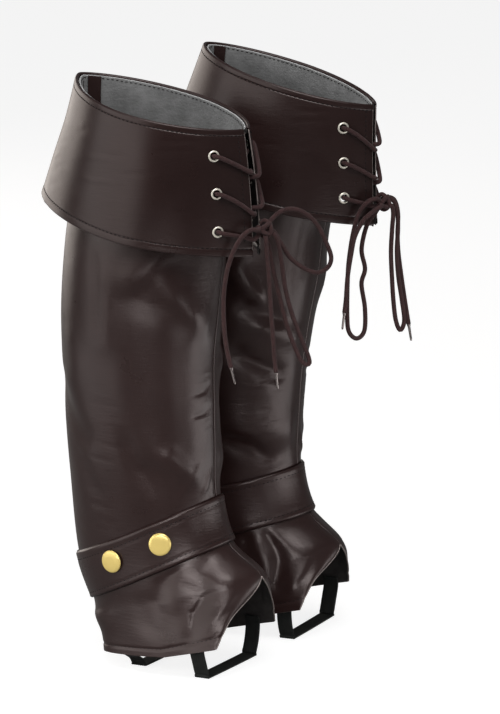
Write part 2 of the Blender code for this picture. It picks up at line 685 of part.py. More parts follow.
def make_bow(cover, collection, lace, metal):
    """The knot, its two loops and its two tails, each tail with an aglet."""
    bm = bmesh.new()
    bmesh.ops.create_icosphere(bm, subdivisions=2, radius=1.0)
    knot = place(cover, *KNOTS[cover.name])
    for vert in bm.verts:
        forward, sideways, up = (c * half for c, half in zip(vert.co, KNOT_SIZE))
        vert.co = place(cover, forward, sideways, up) - place(cover, 0.0, 0.0, 0.0)
    bmesh.ops.translate(bm, vec=knot, verts=bm.verts)
    bmesh.ops.recalc_face_normals(bm, faces=bm.faces)
    mesh = bpy.data.meshes.new(f"{cover.name}_knot")
    bm.to_mesh(mesh)
    bm.free()
    mesh.shade_smooth()
    new_object(f"{cover.name}_knot", mesh, collection, lace)
    for name, route in BOWS[cover.name].items():
        placed = [tuple(place(cover, *point)) for point in route]
        points = smooth_route(placed, CORD_STEP * MM)
        cord_object(f"{cover.name}_{name}", points, LACE_RADIUS, collection, lace)
        if not name.endswith("tail"):
            continue
        along = (points[-1] - points[-2]).normalized()
        start = points[-1] + along * 0.3 * MM
        profile = ((0.0, 0.0), (AGLET_RADIUS, 0.0), (AGLET_RADIUS, AGLET_LENGTH - 1.0),
                   (AGLET_RADIUS - 0.8, AGLET_LENGTH), (0.0, AGLET_LENGTH))
        turned_object(f"{cover.name}_{name}_aglet", profile, 10, start, along, collection, metal)


# Each elastic starts inside the outer panel and ends inside the inner one. Its place is the panel's
# angle at the hem, and it passes under the sole at its own height.
ElasticPlace = namedtuple("ElasticPlace", "name angle forward sole_half_width under")
ELASTICS = (
    ElasticPlace("front_elastic", 52.0, 80.0, 42.0, -3.0),
    ElasticPlace("heel_elastic", 120.0, 12.0, 32.0, -3.0),
)


def make_elastics(cover, collection, finish):
    """Two bands that run from inside one panel's hem under the sole to the other's."""
    rows = leg_rows(cover)
    last = len(rows) - 1.0
    for elastic in ELASTICS:
        line = []
        for side in (OUTER, INNER):
            top = leg_point(rows, side, last - 0.5, elastic.angle)
            low = leg_point(rows, side, last, elastic.angle)
            inside = LEATHER + GAP + ELASTIC + 1.6
            half = [
                (elastic.forward, top[1] - side * inside, top[2]),
                (elastic.forward, low[1] - side * (inside + 0.4), low[2] + 1.0),
                (elastic.forward, side * (elastic.sole_half_width + 5.0), (low[2] + elastic.under) / 2),
                (elastic.forward, side * elastic.sole_half_width, elastic.under + 1.2),
                (elastic.forward, side * (elastic.sole_half_width - 4.0), elastic.under),
            ]
            line += half if side == OUTER else list(reversed(half))
        half_width = ELASTIC_WIDTH / 2
        points = [
            [place(cover, forward + shift, outward, up) for forward, outward, up in line]
            for shift in (half_width, -half_width)
        ]
        inside = place(cover, elastic.forward, 0.0, 30.0)
        sheet_object(f"{cover.name}_{elastic.name}", points, inside, collection, finish, ELASTIC)


def main():
    for obj in list(bpy.data.objects):
        bpy.data.objects.remove(obj, do_unlink=True)
    parts = bpy.data.collections.new("boot covers")
    cutters = bpy.data.collections.new("cutters")
    bpy.context.scene.collection.children.link(parts)
    bpy.context.scene.collection.children.link(cutters)
    leather = material("dark brown leather", (0.040, 0.027, 0.026), 0.42)
    cloth = material("grey lining", (0.19, 0.195, 0.195), 0.95)
    lace = material("red brown lace", (0.045, 0.020, 0.019), 0.85)
    nickel = material("pale nickel", (0.70, 0.64, 0.54), 0.25, 1.0)
    gold = material("polished gold", (0.93, 0.66, 0.22), 0.12, 1.0)
    elastic = material("black elastic", (0.010, 0.011, 0.010), 0.8)
    for cover in (RIGHT, LEFT):
        make_leg(cover, OUTER, parts, leather)
        make_leg(cover, INNER, parts, leather)
        make_cuff(cover, parts, cutters, leather)
        make_lining(cover, parts, cloth)
        make_back_strip(cover, parts, leather)
        make_strap(cover, parts, leather)
        make_snaps(cover, parts, gold)
        make_eyelets(cover, parts, nickel)
        make_lacing(cover, parts, lace)
        make_bow(cover, parts, lace, nickel)
        make_elastics(cover, parts, elastic)


main()
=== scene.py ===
# %% [markdown]
# # A pair of cuffed boot covers
#
# Two covers of imitation leather, filled out as they are when they are worn over ankle boots. Each has
# a leg of two panels that ends in a foot part like a spat, a flared cuff laced at the front, a grey
# lining in its top, a strap round the ankle with two snaps, and two elastics under the sole.
#
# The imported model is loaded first, as a frame that never moves. Every soft piece is then made again as
# a thin shell that lies on its solid's form, with the folds, edges and sewing that a solid leaves out.

import math
import random
from collections import namedtuple

import bmesh
import bpy
import numpy as np
from mathutils import Matrix, Vector


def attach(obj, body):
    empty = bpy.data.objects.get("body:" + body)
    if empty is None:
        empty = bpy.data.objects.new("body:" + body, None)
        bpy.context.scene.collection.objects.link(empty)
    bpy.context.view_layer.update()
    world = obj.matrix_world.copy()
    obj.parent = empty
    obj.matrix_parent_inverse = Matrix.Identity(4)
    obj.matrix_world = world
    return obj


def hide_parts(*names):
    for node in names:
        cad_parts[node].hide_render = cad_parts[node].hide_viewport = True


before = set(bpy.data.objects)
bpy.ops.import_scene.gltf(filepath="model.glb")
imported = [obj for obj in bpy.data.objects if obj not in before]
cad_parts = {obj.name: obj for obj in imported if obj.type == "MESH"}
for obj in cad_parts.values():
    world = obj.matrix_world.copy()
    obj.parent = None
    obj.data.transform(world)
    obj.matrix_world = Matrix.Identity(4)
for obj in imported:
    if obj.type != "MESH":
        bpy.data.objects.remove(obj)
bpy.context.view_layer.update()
print("nodes:", len(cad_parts))

# %% [markdown]
# ## The view
#
# The picture was taken with a long lens from beside and a little in front of the right cover. A lens
# that is far away keeps the two covers nearly the same size. Its length follows from how many pixels
# of the picture's height a metre of the object takes up.

# %% The camera
VIEW_AZIMUTH = -64.0           # in degrees, from the front of the pair, towards the wearer's right
VIEW_ELEVATION = 13.3
VIEW_DISTANCE = 8.0
VIEW_TARGET = Vector((0.0251, -0.0514, 0.1478))
PIXELS_A_METRE = 1145.0
PICTURE_HEIGHT = 714.0
SENSOR = 36.0


def heading(azimuth, elevation):
    """The direction at an azimuth from the pair's front and at an elevation, both in degrees."""
    azimuth, elevation = math.radians(azimuth), math.radians(elevation)
    return Vector((math.sin(azimuth) * math.cos(elevation), -math.cos(azimuth) * math.cos(elevation),
                   math.sin(elevation)))


def added(name, data):
    """A new object in the scene."""
    thing = bpy.data.objects.new(name, data)
    bpy.context.scene.collection.objects.link(thing)
    return thing


lens = bpy.data.cameras.new("view")
lens.sensor_width = SENSOR
lens.lens = PIXELS_A_METRE * VIEW_DISTANCE * SENSOR / PICTURE_HEIGHT
lens.clip_end = 100.0
backwards = heading(VIEW_AZIMUTH, VIEW_ELEVATION)
camera = added("view", lens)
camera.location = VIEW_TARGET + backwards * VIEW_DISTANCE
camera.rotation_euler = backwards.to_track_quat("Z", "Y").to_euler()
bpy.context.scene.camera = camera
print("lens:", round(lens.lens, 1), "mm")

# %% [markdown]
# ## The covers' own frame
#
# Sizes are in millimetres, in each cover's own frame: forward, towards the toes; outward, away from the
# other cover; and up from the level of the boot's sole. `placed` turns them into the pair's frame, in
# metres. The tables are those of the solids, so a shell made from them lies where its solid is.

# %% Sizes of the pair
MM = 0.001
PAIR_SPREAD = 145.0
PAIR_STAGGER = 3.0
TOE_OUT = math.radians(2.0)
ANKLE_HEIGHT = 100.0
LEATHER = 1.5
LINING = 1.0
STRAP = 2.4
ELASTIC = 1.4
GAP = 0.45
LINING_GAP = 1.0
SEAM = 0.3
LACE_RADIUS = 2.0
OUTER, INNER = 1, -1
SIDE_NAMES = {OUTER: "outer", INNER: "inner"}

# %% [markdown]
# A leg is lofted through sections. Each is an outline with a point at its front, one at the widest place
# of its side and one at its back. A pinch over 1 draws that end of the outline to a point. The left leg
# leans forward, by an amount of its own at each section.

# %% The sections of a leg
Section = namedtuple("Section", "name front side back pinch_front pinch_back")
LEG = [Section(*row) for row in (
    ("slit end", (80, SEAM, 394), (4, 57, 403), (-67, SEAM, 416), 1.35, 1.15),
    ("cuff hem", (77.5, SEAM, 358), (0, 61.5, 361), (-71.5, SEAM, 367), 1.30, 1.08),
    ("calf", (73, SEAM, 314), (-3, 63.5, 313), (-74, SEAM, 312), 1.05, 1.03),
    ("shin", (68.5, SEAM, 272), (-4, 62, 268), (-73, SEAM, 262), 1.00, 1.00),
    ("lower shin", (68.5, SEAM, 232), (-2, 59, 224), (-71, SEAM, 213), 1.00, 1.00),
    ("above ankle", (69, SEAM, 195), (0, 55, 180), (-67.5, SEAM, 162), 1.00, 1.00),
    ("strap top", (70.5, SEAM, 147), (5, 49, 115), (-60, SEAM, 85.5), 1.00, 1.00),
    ("strap bottom", (83, SEAM, 107), (15, 49.5, 73.5), (-42, 8, 47), 1.00, 1.00),
    ("vamp point", (115, SEAM, 80.5), (30, 52, 50), (-33, 27, 35), 1.00, 1.00),
    ("vamp middle", (105.5, 38, 50), (42, 55.5, 29), (-24, 32, 22), 1.00, 0.95),
    ("foot hem", (99.5, 54, 26), (50, 58, 13.5), (-18.5, 38, 8), 1.00, 0.90),
)]
Lean = namedtuple("Lean", "forward front_rise side_rise pinch_front")
UPRIGHT = Lean(0, 0, 0, None)
LEFT_LEAN = [Lean(*row) for row in (
    (28, 0, 0, 1.00), (18.5, 0, 0, 0.85), (16.5, 0, 0, 0.85), (12.5, 0, 0, 0.90), (6.5, 0, 0, 0.90),
    (3, 0, 0, 0.92), (0, -4, 10, 1.00), (-0.5, -6.5, 8, 1.00), (-3.5, -6.5, 3, 1.00), (-3, -2, 0, 1.00),
    (-3, 0, 0, 1.00),
)]

# %% The rows of the cuffs
Row = namedtuple("Row", "front side back pinch_front pinch_back drawn")
RIGHT_CUFF = [Row(*row) for row in (
    ((100.5, 4.4, 474), (18, 59, 488), (-72, 0, 504), 1.45, 1.45, 14),
    ((105.5, 5.6, 438), (16, 64, 452), (-80, 0, 470), 1.50, 1.45, 11),
    ((109, 6.6, 402), (14, 67.5, 416), (-91, 0, 435), 1.65, 1.50, 7),
    ((110.5, 6.9, 366), (12, 70.5, 380), (-102, 0, 400), 1.80, 1.60, 4),
)]
LEFT_CUFF = [Row(*row) for row in (
    ((143.5, 3.3, 471), (62, 45, 491), (-23, 0, 511), 1.45, 1.30, -9),
    ((143, 3.5, 437), (56, 54, 457), (-35, 0, 478), 1.50, 1.35, -7),
    ((143.5, 3.7, 402), (50, 62, 423), (-48, 0, 444), 1.60, 1.45, -5),
    ((144.5, 3.9, 366), (46, 68, 389), (-63, 0, 410), 1.80, 1.60, -3),
)]
INNER_FULLNESS = 0.94
Cover = namedtuple("Cover", "name side cuff lean eyelet_rows eyelet_reach back_strip")
RIGHT = Cover("right", -1, RIGHT_CUFF, [UPRIGHT] * len(LEG), (0.64, 1.50, 2.38), 33.0, INNER)
LEFT = Cover("left", 1, LEFT_CUFF, LEFT_LEAN, (0.66, 1.50, 2.34), 29.5, OUTER)
COVERS = (RIGHT, LEFT)


# %% [markdown]
# The functions take whole arrays of places, because a shell has tens of thousands of them. A level is a
# row of the table, and may fall between two rows; an angle runs from the front seam, 0 degrees, to the
# back seam, 180 degrees.

# %% From a table to a surface
def placed(cover, forward, outward, up):
    """Points of a cover, in the pair's frame and in metres."""
    x = PAIR_SPREAD / 2 + outward * math.cos(TOE_OUT) + forward * math.sin(TOE_OUT)
    y = outward * math.sin(TOE_OUT) - forward * math.cos(TOE_OUT) - cover.side * PAIR_STAGGER
    up = np.broadcast_to(up, np.shape(x))
    return np.stack([cover.side * x, y, up - ANKLE_HEIGHT], axis=-1) * MM


def placed_point(cover, *point):
    return Vector(placed(cover, *(np.float64(value) for value in point)))


def four_round(rows, number):
    """The rows from one before a number to two after it; the first and the last row stand in past an end."""
    return [tuple(rows[min(max(number + k, 0), len(rows) - 1)]) for k in (-1, 0, 1, 2)]


def mixed(points, share):
    """A smooth value between the middle two of four, each a number or a tuple of numbers."""
    a, b, c, d = points
    if isinstance(b, (tuple, list)):
        return tuple(mixed(group, share) for group in zip(a, b, c, d))
    return 0.5 * (2 * b + (c - a) * share + (2 * a - 5 * b + 4 * c - d) * share ** 2
                  + (3 * b - a - 3 * c + d) * share ** 3)


def row_between(rows, level):
    """The row at a level, on a smooth curve through the rows of a table."""
    first = min(int(level), len(rows) - 2)
    return Row(*mixed(four_round(rows, first), level - first))


def inset(row, front, side, back, drop=1.0):
    """A cuff row drawn inwards by its own amount at the front, the sides and the back, and down a little."""
    return row._replace(
        front=(row.front[0] - front, row.front[1], row.front[2] - drop),
        side=(row.side[0], row.side[1] - side, row.side[2] - drop),
        back=(row.back[0] + back, row.back[1], row.back[2] - drop))


TOP_DRAWN = {"slit end": 0.4, "cuff hem": 0.15}       # the part of the rim's sideways lean that goes on
UNDER_CUFF = (0.75, (14.5, 9.0, 8.5))                 # the leg inside the cuff: a level and its inset


def leg_rows(cover):
    """All rows of a leg, rim first: two that follow the inside of the cuff, then those of LEG."""
    rim = cover.cuff[0]
    rows = [inset(rim, *(LEATHER + GAP,) * 3), inset(row_between(cover.cuff, UNDER_CUFF[0]), *UNDER_CUFF[1])]
    for section, lean in zip(LEG, cover.lean):
        rises = (lean.front_rise, lean.side_rise, 0)
        ends = (section.front, section.side, section.back)
        points = [(p[0] + lean.forward, p[1], p[2] + rise) for p, rise in zip(ends, rises)]
        pinch = lean.pinch_front or section.pinch_front
        rows.append(Row(*points, pinch, section.pinch_back, TOP_DRAWN.get(section.name, 0.0) * rim.drawn))
    return rows


def outline(row, side, angles, seam=SEAM):
    """The points of a row's outline at angles from the front, on the outer or the inner side."""
    turn = np.radians(angles)
    in_front = angles <= 90.0
    along = np.abs(np.cos(turn))
    pinch = np.where(in_front, row.pinch_front, row.pinch_back)
    across = np.where(angles >= 180.0, 0.0, np.maximum(np.sin(turn), 0.0) ** pinch)
    width = row.side[1] * (INNER_FULLNESS if side == INNER else 1.0)
    parting = np.where(in_front, max(row.front[1], seam), max(row.back[1], seam))
    forward = row.side[0] + (np.where(in_front, row.front[0], row.back[0]) - row.side[0]) * along
    drawn = np.where(in_front, 0.0, -row.drawn)
    outward = side * (parting + (width - parting) * across) + drawn * (1.0 - across)
    up = row.side[2] + (np.where(in_front, row.front[2], row.back[2]) - row.side[2]) * along
    return forward, outward, up


def outlines(rows, levels, side, angles, seam=SEAM):
    """Grids of forward, outward and up, with an outline for each level."""
    grid = [outline(row_between(rows, level), side, angles, seam) for level in levels]
    return [np.array([line[k] for line in grid]) for k in range(3)]


def joined(parts):
    """Grids of forward, outward and up that are set side by side."""
    return [np.concatenate([part[k] for part in parts], axis=1) for k in range(3)]


def ramp(value, low, high):
    """0 below low, 1 above high, and smooth between them."""
    share = np.clip((value - low) / (high - low), 0.0, 1.0)
    return share * share * (3.0 - 2.0 * share)


def bell(offset, width):
    """1 where the offset is 0, and down to nothing beyond about twice the width."""
    return np.exp(-((offset / width) ** 2))


def strides(points):
    """The distance from each point of a line to the next."""
    return np.linalg.norm(np.diff(points, axis=0), axis=1)


def walked(points):
    """How far along a line each of its points lies."""
    return np.concatenate([[0.0], np.cumsum(strides(points))])


def spots_at(places, distances, line):
    """The values of a line, which are known at distances along it, at other places along it."""
    return np.stack([np.interp(places, distances, line[:, k]) for k in range(3)], axis=-1)


# %% [markdown]
# ## The laces
#
# A lace is a thin round braid. It hangs in loops and tails from a bow, so it is made before the other
# pieces: what it spans decides whether the picture holds it. Its route is the one its solid follows,
# on a smooth curve through the same points. `CROSSING` follows one strand from an eyelet to the next on
# the other side: the side it is on, its share of the way from the slit to the eyelet, how far down it
# has come, its height off the leather, and how much further down the second end of the lace lies.

# %% The routes of the laces
CROSSING = (
    (1, 1.00, 0.00, -0.6, 0.00), (1, 0.96, 0.00, 2.9, 0.00), (1, 0.84, 0.03, 3.7, 0.00),
    (1, 0.55, 0.14, 2.8, 0.02), (1, 0.25, 0.28, 2.7, 0.08), (1, 0.04, 0.40, 3.1, 0.14),
    (1, -0.07, 0.43, 1.5, 0.15), (-1, -0.08, 0.43, -3.0, 0.15), (-1, 0.04, 0.46, -4.3, 0.15),
    (-1, 0.27, 0.64, -4.3, 0.10), (-1, 0.55, 0.83, -4.4, 0.03), (-1, 0.82, 0.97, -4.6, 0.00),
    (-1, 0.96, 1.00, -4.0, 0.00),
)
TOP_BAR = ((0.96, -4.0), (0.65, -5.2), (0.30, -5.4), (0.0, -5.6))
LAST_PULL = ((0.96, 0.00, 2.9), (0.84, 0.02, 3.7), (0.55, 0.06, 2.9), (0.27, 0.10, 3.2), (0.05, 0.14, 4.6))
KNOTS = {"right": (117.5, 0.0, 389.0), "left": (150.5, 0.0, 386.0)}
BOWS = {
    "right": {
        "wide_loop": (
            (121, -10, 397), (126, -15, 402), (134, -21, 404), (143, -29, 399), (150, -37, 388),
            (156, -42, 372), (159, -45, 359), (156, -44, 350), (149, -39, 346), (141, -31, 350),
            (132, -22, 360), (126, -16, 373), (121, -12, 384),
        ),
        "long_loop": (
            (127, -3, 383), (129, -6, 372), (130, -10, 354), (131, -14, 334), (134, -20, 312),
            (139, -27, 290), (143, -33, 273), (144, -33, 266), (140, -28, 268), (135, -22, 284),
            (130, -17, 304), (126, -13, 326), (122, -9, 350), (120, -5, 370), (119, -3, 379),
        ),
        "outer_tail": (
            (117, 11, 390), (115, 17, 391), (111, 24, 388), (105, 30, 376), (100, 34, 358),
            (97, 35, 336), (97, 35, 312), (99, 34, 290), (103, 33, 272),
        ),
        "front_tail": (
            (122, 5, 380), (122, 4, 370), (123, 2, 352), (123, -1, 326), (124, -3, 300),
            (125, -5, 276), (126, -6, 262),
        ),
    },
    "left": {
        "wide_loop": (
            (150, -12, 391), (145, -18, 389), (139, -23, 380), (136, -28, 365), (134, -32, 345),
            (133, -34, 325), (133, -35, 290), (134, -33, 275), (138, -25, 268), (142, -18, 274),
            (142, -17, 294), (140, -20, 316), (142, -17, 329), (140, -20, 347), (143, -15, 368),
            (148, -8, 378),
        ),
        "long_loop": (
            (159, 1, 383), (160, 3, 376), (159, 3, 362), (158, 3, 341), (159, 3, 319),
            (160, 4, 298), (162, 5, 280), (165, 8, 271), (167, 12, 279), (165, 11, 298),
            (162, 10, 319), (161, 9, 341), (162, 9, 362), (161, 9, 378), (157, 8, 387),
        ),
        "outer_tail": (
            (151, 11, 388), (156, 15, 385), (159, 16, 373), (159, 15, 355), (160, 15, 338),
            (162, 16, 320), (165, 17, 298), (169, 17, 275),
        ),
        "front_tail": (
            (154, -11, 384), (150, -17, 381), (144, -25, 374), (139, -32, 361), (137, -36, 345),
            (135, -39, 325), (134, -40, 306), (133, -41, 294),
        ),
    },
}


def cuff_spot(cover, side, level, angle):
    """One point of the cuff."""
    row = row_between(cover.cuff, level)
    return Vector(placed(cover, *outline(row, side, np.array([angle])))[0])


def on_cuff(cover, side, distance, level):
    """The place on the cuff at a distance from the slit's edge, and the leather's outward normal."""
    angle, gone = 0.0, 0.0
    while gone < distance * MM:
        stride = (cuff_spot(cover, side, level, angle + 1.0) - cuff_spot(cover, side, level, angle)).length
        part = min((distance * MM - gone) / stride, 1.0)
        angle += part
        gone += stride * part + 1e-9
    low = max(angle - 4.0, 0.0)
    along = cuff_spot(cover, side, level, low + 8.0) - cuff_spot(cover, side, level, low)
    below, above = min(level + 0.2, 3.0), max(level - 0.2, 0.0)
    down = cuff_spot(cover, side, below, angle) - cuff_spot(cover, side, above, angle)
    normal = along.cross(down).normalized()
    outwards = Vector((cover.side * side, -1.0, 0.0))
    return cuff_spot(cover, side, level, angle), (normal if normal.dot(outwards) > 0.0 else -normal)


def lacing_point(cover, side, share, level, height):
    """A point of the lacing, on the cuff or in the slit between its two edges."""
    distance = share * cover.eyelet_reach
    if distance >= 0.0:
        spot, normal = on_cuff(cover, side, distance, level)
        return spot + normal * height * MM
    edge = on_cuff(cover, side, 0.0, level)[0]
    other = on_cuff(cover, -side, 0.0, level)[0]
    across = (other - edge).normalized()
    forward = (placed_point(cover, 1, 0, 0) - placed_point(cover, 0, 0, 0)).normalized()
    return edge - across * distance * MM + forward * height * MM


def lace_half(cover, first_side, second_end):
    """One end of the lace: from the top eyelet of a side down to its last eyelet, and to the knot."""
    route, side, rows = [], first_side, cover.eyelet_rows
    for upper, lower in zip(rows, rows[1:]):
        for flip, share, down, height, extra in CROSSING:
            drop = down + (extra if second_end else 0.0)
            route.append((side * flip, share, upper + (lower - upper) * drop, height))
        side = -side
    route.append((side, 1.0, rows[-1], -0.6))
    route += [(side, share, rows[-1] + down, height) for share, down, height in LAST_PULL]
    return [lacing_point(cover, *point) for point in route]


def lacing_route(cover):
    """Up from the knot through the eyelets of one end, along the bar on top and down the other end."""
    top = cover.eyelet_rows[0]
    bar = [lacing_point(cover, OUTER, share, top, height) for share, height in TOP_BAR]
    bar += [lacing_point(cover, INNER, share, top, height) for share, height in reversed(TOP_BAR[:-1])]
    return list(reversed(lace_half(cover, OUTER, False))) + bar + lace_half(cover, INNER, True)


def smooth_route(points, step, parts=12):
    """Points about one step apart on a smooth curve through a route."""
    dense = [mixed(four_round(points, number), part / parts)
             for number in range(len(points) - 1) for part in range(parts)]
    dense = np.array(dense + [tuple(points[-1])])
    lengths = walked(dense)
    return spots_at(np.linspace(0.0, lengths[-1], max(round(lengths[-1] / step), 2) + 1), lengths, dense)


# %% [markdown]
# ## Finishes
#
# The first helper starts a material and hands back its nodes. Grain, mottling and streaks are shader
# groups, because the leather of every piece, the raw edges and the thread share them, each with its own
# scale. They read Object coordinates, so that a pattern has its real size on every piece.

# %% Helpers for nodes
def new_material(name, colour, roughness, **sockets):
    """A material with its Principled shader set, and its node tree to go on with."""
    finish = bpy.data.materials.new(name)
    finish.use_nodes = True
    shader = finish.node_tree.nodes["Principled BSDF"]
    for socket, value in {"Base Color": (*colour, 1.0), "Roughness": roughness, **sockets}.items():
        shader.inputs[socket.replace("_", " ")].default_value = value
    return finish, finish.node_tree, shader


def add_node(tree, kind, inputs=None, **settings):
    """A node with its settings and its inputs, which are values or other nodes' sockets."""
    node = tree.nodes.new(kind)
    for setting, value in settings.items():
        setattr(node, setting, value)
    for key, value in (inputs or {}).items():
        if isinstance(value, bpy.types.NodeSocket):
            tree.links.new(value, node.inputs[key])
        else:
            node.inputs[key].default_value = value
    return node


def calculated(tree, operation, *values):
    """The result of a Math node."""
    return add_node(tree, "ShaderNodeMath", dict(enumerate(values)), operation=operation).outputs[0]


def new_group(name, output, **inputs):
    """A shader group of a Vector and of numbers, with the sockets inside it that its nodes join to."""
    tree = bpy.data.node_groups.new(name, "ShaderNodeTree")
    tree.interface.new_socket(name="Vector", in_out="INPUT", socket_type="NodeSocketVector")
    for label, value in inputs.items():
        socket = tree.interface.new_socket(name=label.replace("_", " "), in_out="INPUT",
                                           socket_type="NodeSocketFloat")
        socket.default_value = value
    tree.interface.new_socket(name=output, in_out="OUTPUT", socket_type="NodeSocketFloat")
    given, result = add_node(tree, "NodeGroupInput"), add_node(tree, "NodeGroupOutput")
    return tree, given.outputs, result.inputs[output]


def effect(tree, group, point, **inputs):
    """What a shared group puts out, placed in a material with its own values."""
    named = {key.replace("_", " "): value for key, value in inputs.items()}
    return add_node(tree, "ShaderNodeGroup", {"Vector": point, **named}, node_tree=group).outputs[0]


# %% The shared effects
def make_grain():
    """Leather grain: rounded cells with finer ones on them."""
    tree, given, result = new_group("leather grain", "Height", Cells_a_metre=900.0)
    point, count = given["Vector"], given["Cells a metre"]
    cells = add_node(tree, "ShaderNodeTexVoronoi", {"Vector": point, "Scale": count}, feature="SMOOTH_F1")
    finer = calculated(tree, "MULTIPLY", count, 2.3)
    small = add_node(tree, "ShaderNodeTexNoise", {"Vector": point, "Scale": finer, "Detail": 2.0})
    tree.links.new(calculated(tree, "ADD", cells.outputs["Distance"], small.outputs["Fac"]), result)
    return tree


def make_mottle():
    """Soft cloudy variation between two values."""
    tree, given, result = new_group("mottle", "Value", Scale=20.0, Low=0.0, High=1.0)
    cloud = add_node(tree, "ShaderNodeTexNoise", {"Vector": given["Vector"], "Scale": given["Scale"],
                                                  "Detail": 4.0, "Roughness": 0.55})
    spread = add_node(tree, "ShaderNodeMapRange", {0: cloud.outputs["Fac"], 1: 0.3, 2: 0.7,
                                                   3: given["Low"], 4: given["High"]})
    tree.links.new(spread.outputs[0], result)
    return tree


def make_streaks():
    """Fine creases that run round the leg: noise drawn out sideways."""
    tree, given, result = new_group("streaks", "Height", Scale=60.0)
    drawn = add_node(tree, "ShaderNodeMapping", {"Vector": given["Vector"], "Rotation": (0.12, 0.1, 0.0),
                                                 "Scale": (0.16, 0.16, 1.0)})
    lines = add_node(tree, "ShaderNodeTexNoise", {"Vector": drawn.outputs[0], "Scale": given["Scale"],
                                                  "Detail": 3.0, "Roughness": 0.6, "Distortion": 0.6})
    tree.links.new(lines.outputs["Fac"], result)
    return tree


GRAIN = make_grain()
MOTTLE = make_mottle()
STREAKS = make_streaks()


def object_point(tree):
    return add_node(tree, "ShaderNodeTexCoord").outputs["Object"]


def tinted(tree, shader, factor, low, high):
    """The base colour runs between two colours by a factor."""
    mix = add_node(tree, "ShaderNodeMix", {"Factor": factor}, data_type="RGBA")
    mix.inputs[6].default_value = (*low, 1.0)
    mix.inputs[7].default_value = (*high, 1.0)
    tree.links.new(mix.outputs[2], shader.inputs["Base Color"])


def bumped(tree, shader, *layers):
    """Bumps laid over each other, each a height socket, its strength and its height in metres."""
    normal = None
    for height, strength, distance in layers:
        bump = add_node(tree, "ShaderNodeBump",
                        {"Height": height, "Strength": strength, "Distance": distance})
        if normal is not None:
            tree.links.new(normal, bump.inputs["Normal"])
        normal = bump.outputs["Normal"]
    tree.links.new(normal, shader.inputs["Normal"])


# %% [markdown]
# Imitation leather is a knit with a film on it: very dark brown, a soft broad sheen, a fine grain and
# faint creases across the leg. Its cut edges and its back show the paler knit.

# %% Leather, its raw edge and its back
def make_leather():
    finish, tree, shader = new_material("dark brown leather", (0.034, 0.018, 0.017), 0.34, Coat_Weight=0.12,
                                        Coat_Roughness=0.25, Specular_Tint=(1.0, 0.86, 0.84, 1.0))
    point = object_point(tree)
    cloud = effect(tree, MOTTLE, point, Scale=14.0)
    tinted(tree, shader, cloud, (0.0185, 0.0084, 0.0078), (0.0260, 0.0124, 0.0115))
    sheen = effect(tree, MOTTLE, point, Scale=35.0, Low=0.27, High=0.35)
    tree.links.new(sheen, shader.inputs["Roughness"])
    grain = effect(tree, GRAIN, point, Cells_a_metre=1100.0)
    lines = effect(tree, STREAKS, point, Scale=420.0)
    bumped(tree, shader, (grain, 0.25, 0.00012), (lines, 0.22, 0.0006))
    return finish


def make_cloth(name, low, high, roughness, cells, depth, sheen=0.0, brushed=None):
    """A plain cloth: cloudy colour and a fine nap, and level streaks where it is brushed."""
    finish, tree, shader = new_material(name, low, roughness, Sheen_Weight=sheen, Sheen_Roughness=0.5)
    point = object_point(tree)
    cloud = effect(tree, MOTTLE, point, Scale=cells * 0.12)
    if brushed:
        lines = effect(tree, STREAKS, point, Scale=brushed)
        clear = add_node(tree, "ShaderNodeMapRange", {0: lines, 1: 0.36, 2: 0.64, 3: -0.22, 4: 0.22})
        cloud = calculated(tree, "ADD", cloud, clear.outputs[0])
    tinted(tree, shader, cloud, low, high)
    bumped(tree, shader, (effect(tree, GRAIN, point, Cells_a_metre=cells), 0.6, depth))
    return finish


leather = make_leather()
raw_edge = make_cloth("raw leather edge", (0.20, 0.165, 0.155), (0.34, 0.29, 0.27), 0.8, 1500.0, 0.0002)
leather_back = make_cloth("leather back", (0.035, 0.030, 0.029), (0.055, 0.048, 0.046), 0.9, 900.0, 0.0002)
lining_cloth = make_cloth("grey lining", (0.16,) * 3, (0.25,) * 3, 0.95, 500.0, 0.0005, 0.2, 700.0)
lining_edge = make_cloth("lining edge", (0.45,) * 3, (0.62,) * 3, 0.95, 900.0, 0.0003)
thread = make_cloth("dark thread", (0.006, 0.004, 0.004), (0.011, 0.007, 0.007), 0.9, 2500.0, 0.0001)
elastic_cloth = make_cloth("black elastic", (0.008, 0.009, 0.008), (0.014, 0.015, 0.014), 0.8, 1200.0, 0.0002)

# %% [markdown]
# The lace is a round braid. Its strands show as a lattice of small slanting ridges, so its bump follows
# the lace's own map, which runs along and round it in millimetres. Metals differ in how worn they are:
# the more a metal is scratched, the more its roughness changes from place to place.

# %% The braid of the lace, and the metals
STRAND_PITCH = 1.6             # millimetres from one ridge of the braid to the next


def make_lace():
    finish, tree, shader = new_material("red brown lace", (0.045, 0.020, 0.019), 0.85,
                                        Sheen_Weight=0.06, Sheen_Roughness=0.5)
    point = object_point(tree)
    cloud = effect(tree, MOTTLE, point, Scale=240.0)
    tinted(tree, shader, cloud, (0.042, 0.0155, 0.0155), (0.066, 0.0255, 0.025))
    route = add_node(tree, "ShaderNodeUVMap", uv_map="along and round")
    along, around = add_node(tree, "ShaderNodeSeparateXYZ", {0: route.outputs[0]}).outputs[:2]
    waves = []
    for sign in (1.0, -1.0):
        slant = calculated(tree, "ADD", along, calculated(tree, "MULTIPLY", around, sign))
        waves.append(calculated(tree, "SINE", calculated(tree, "MULTIPLY", slant, math.tau / STRAND_PITCH)))
    strands = calculated(tree, "MAXIMUM", *waves)
    fuzz = effect(tree, GRAIN, point, Cells_a_metre=3500.0)
    bumped(tree, shader, (strands, 0.7, 0.0003), (fuzz, 0.5, 0.0001))
    return finish


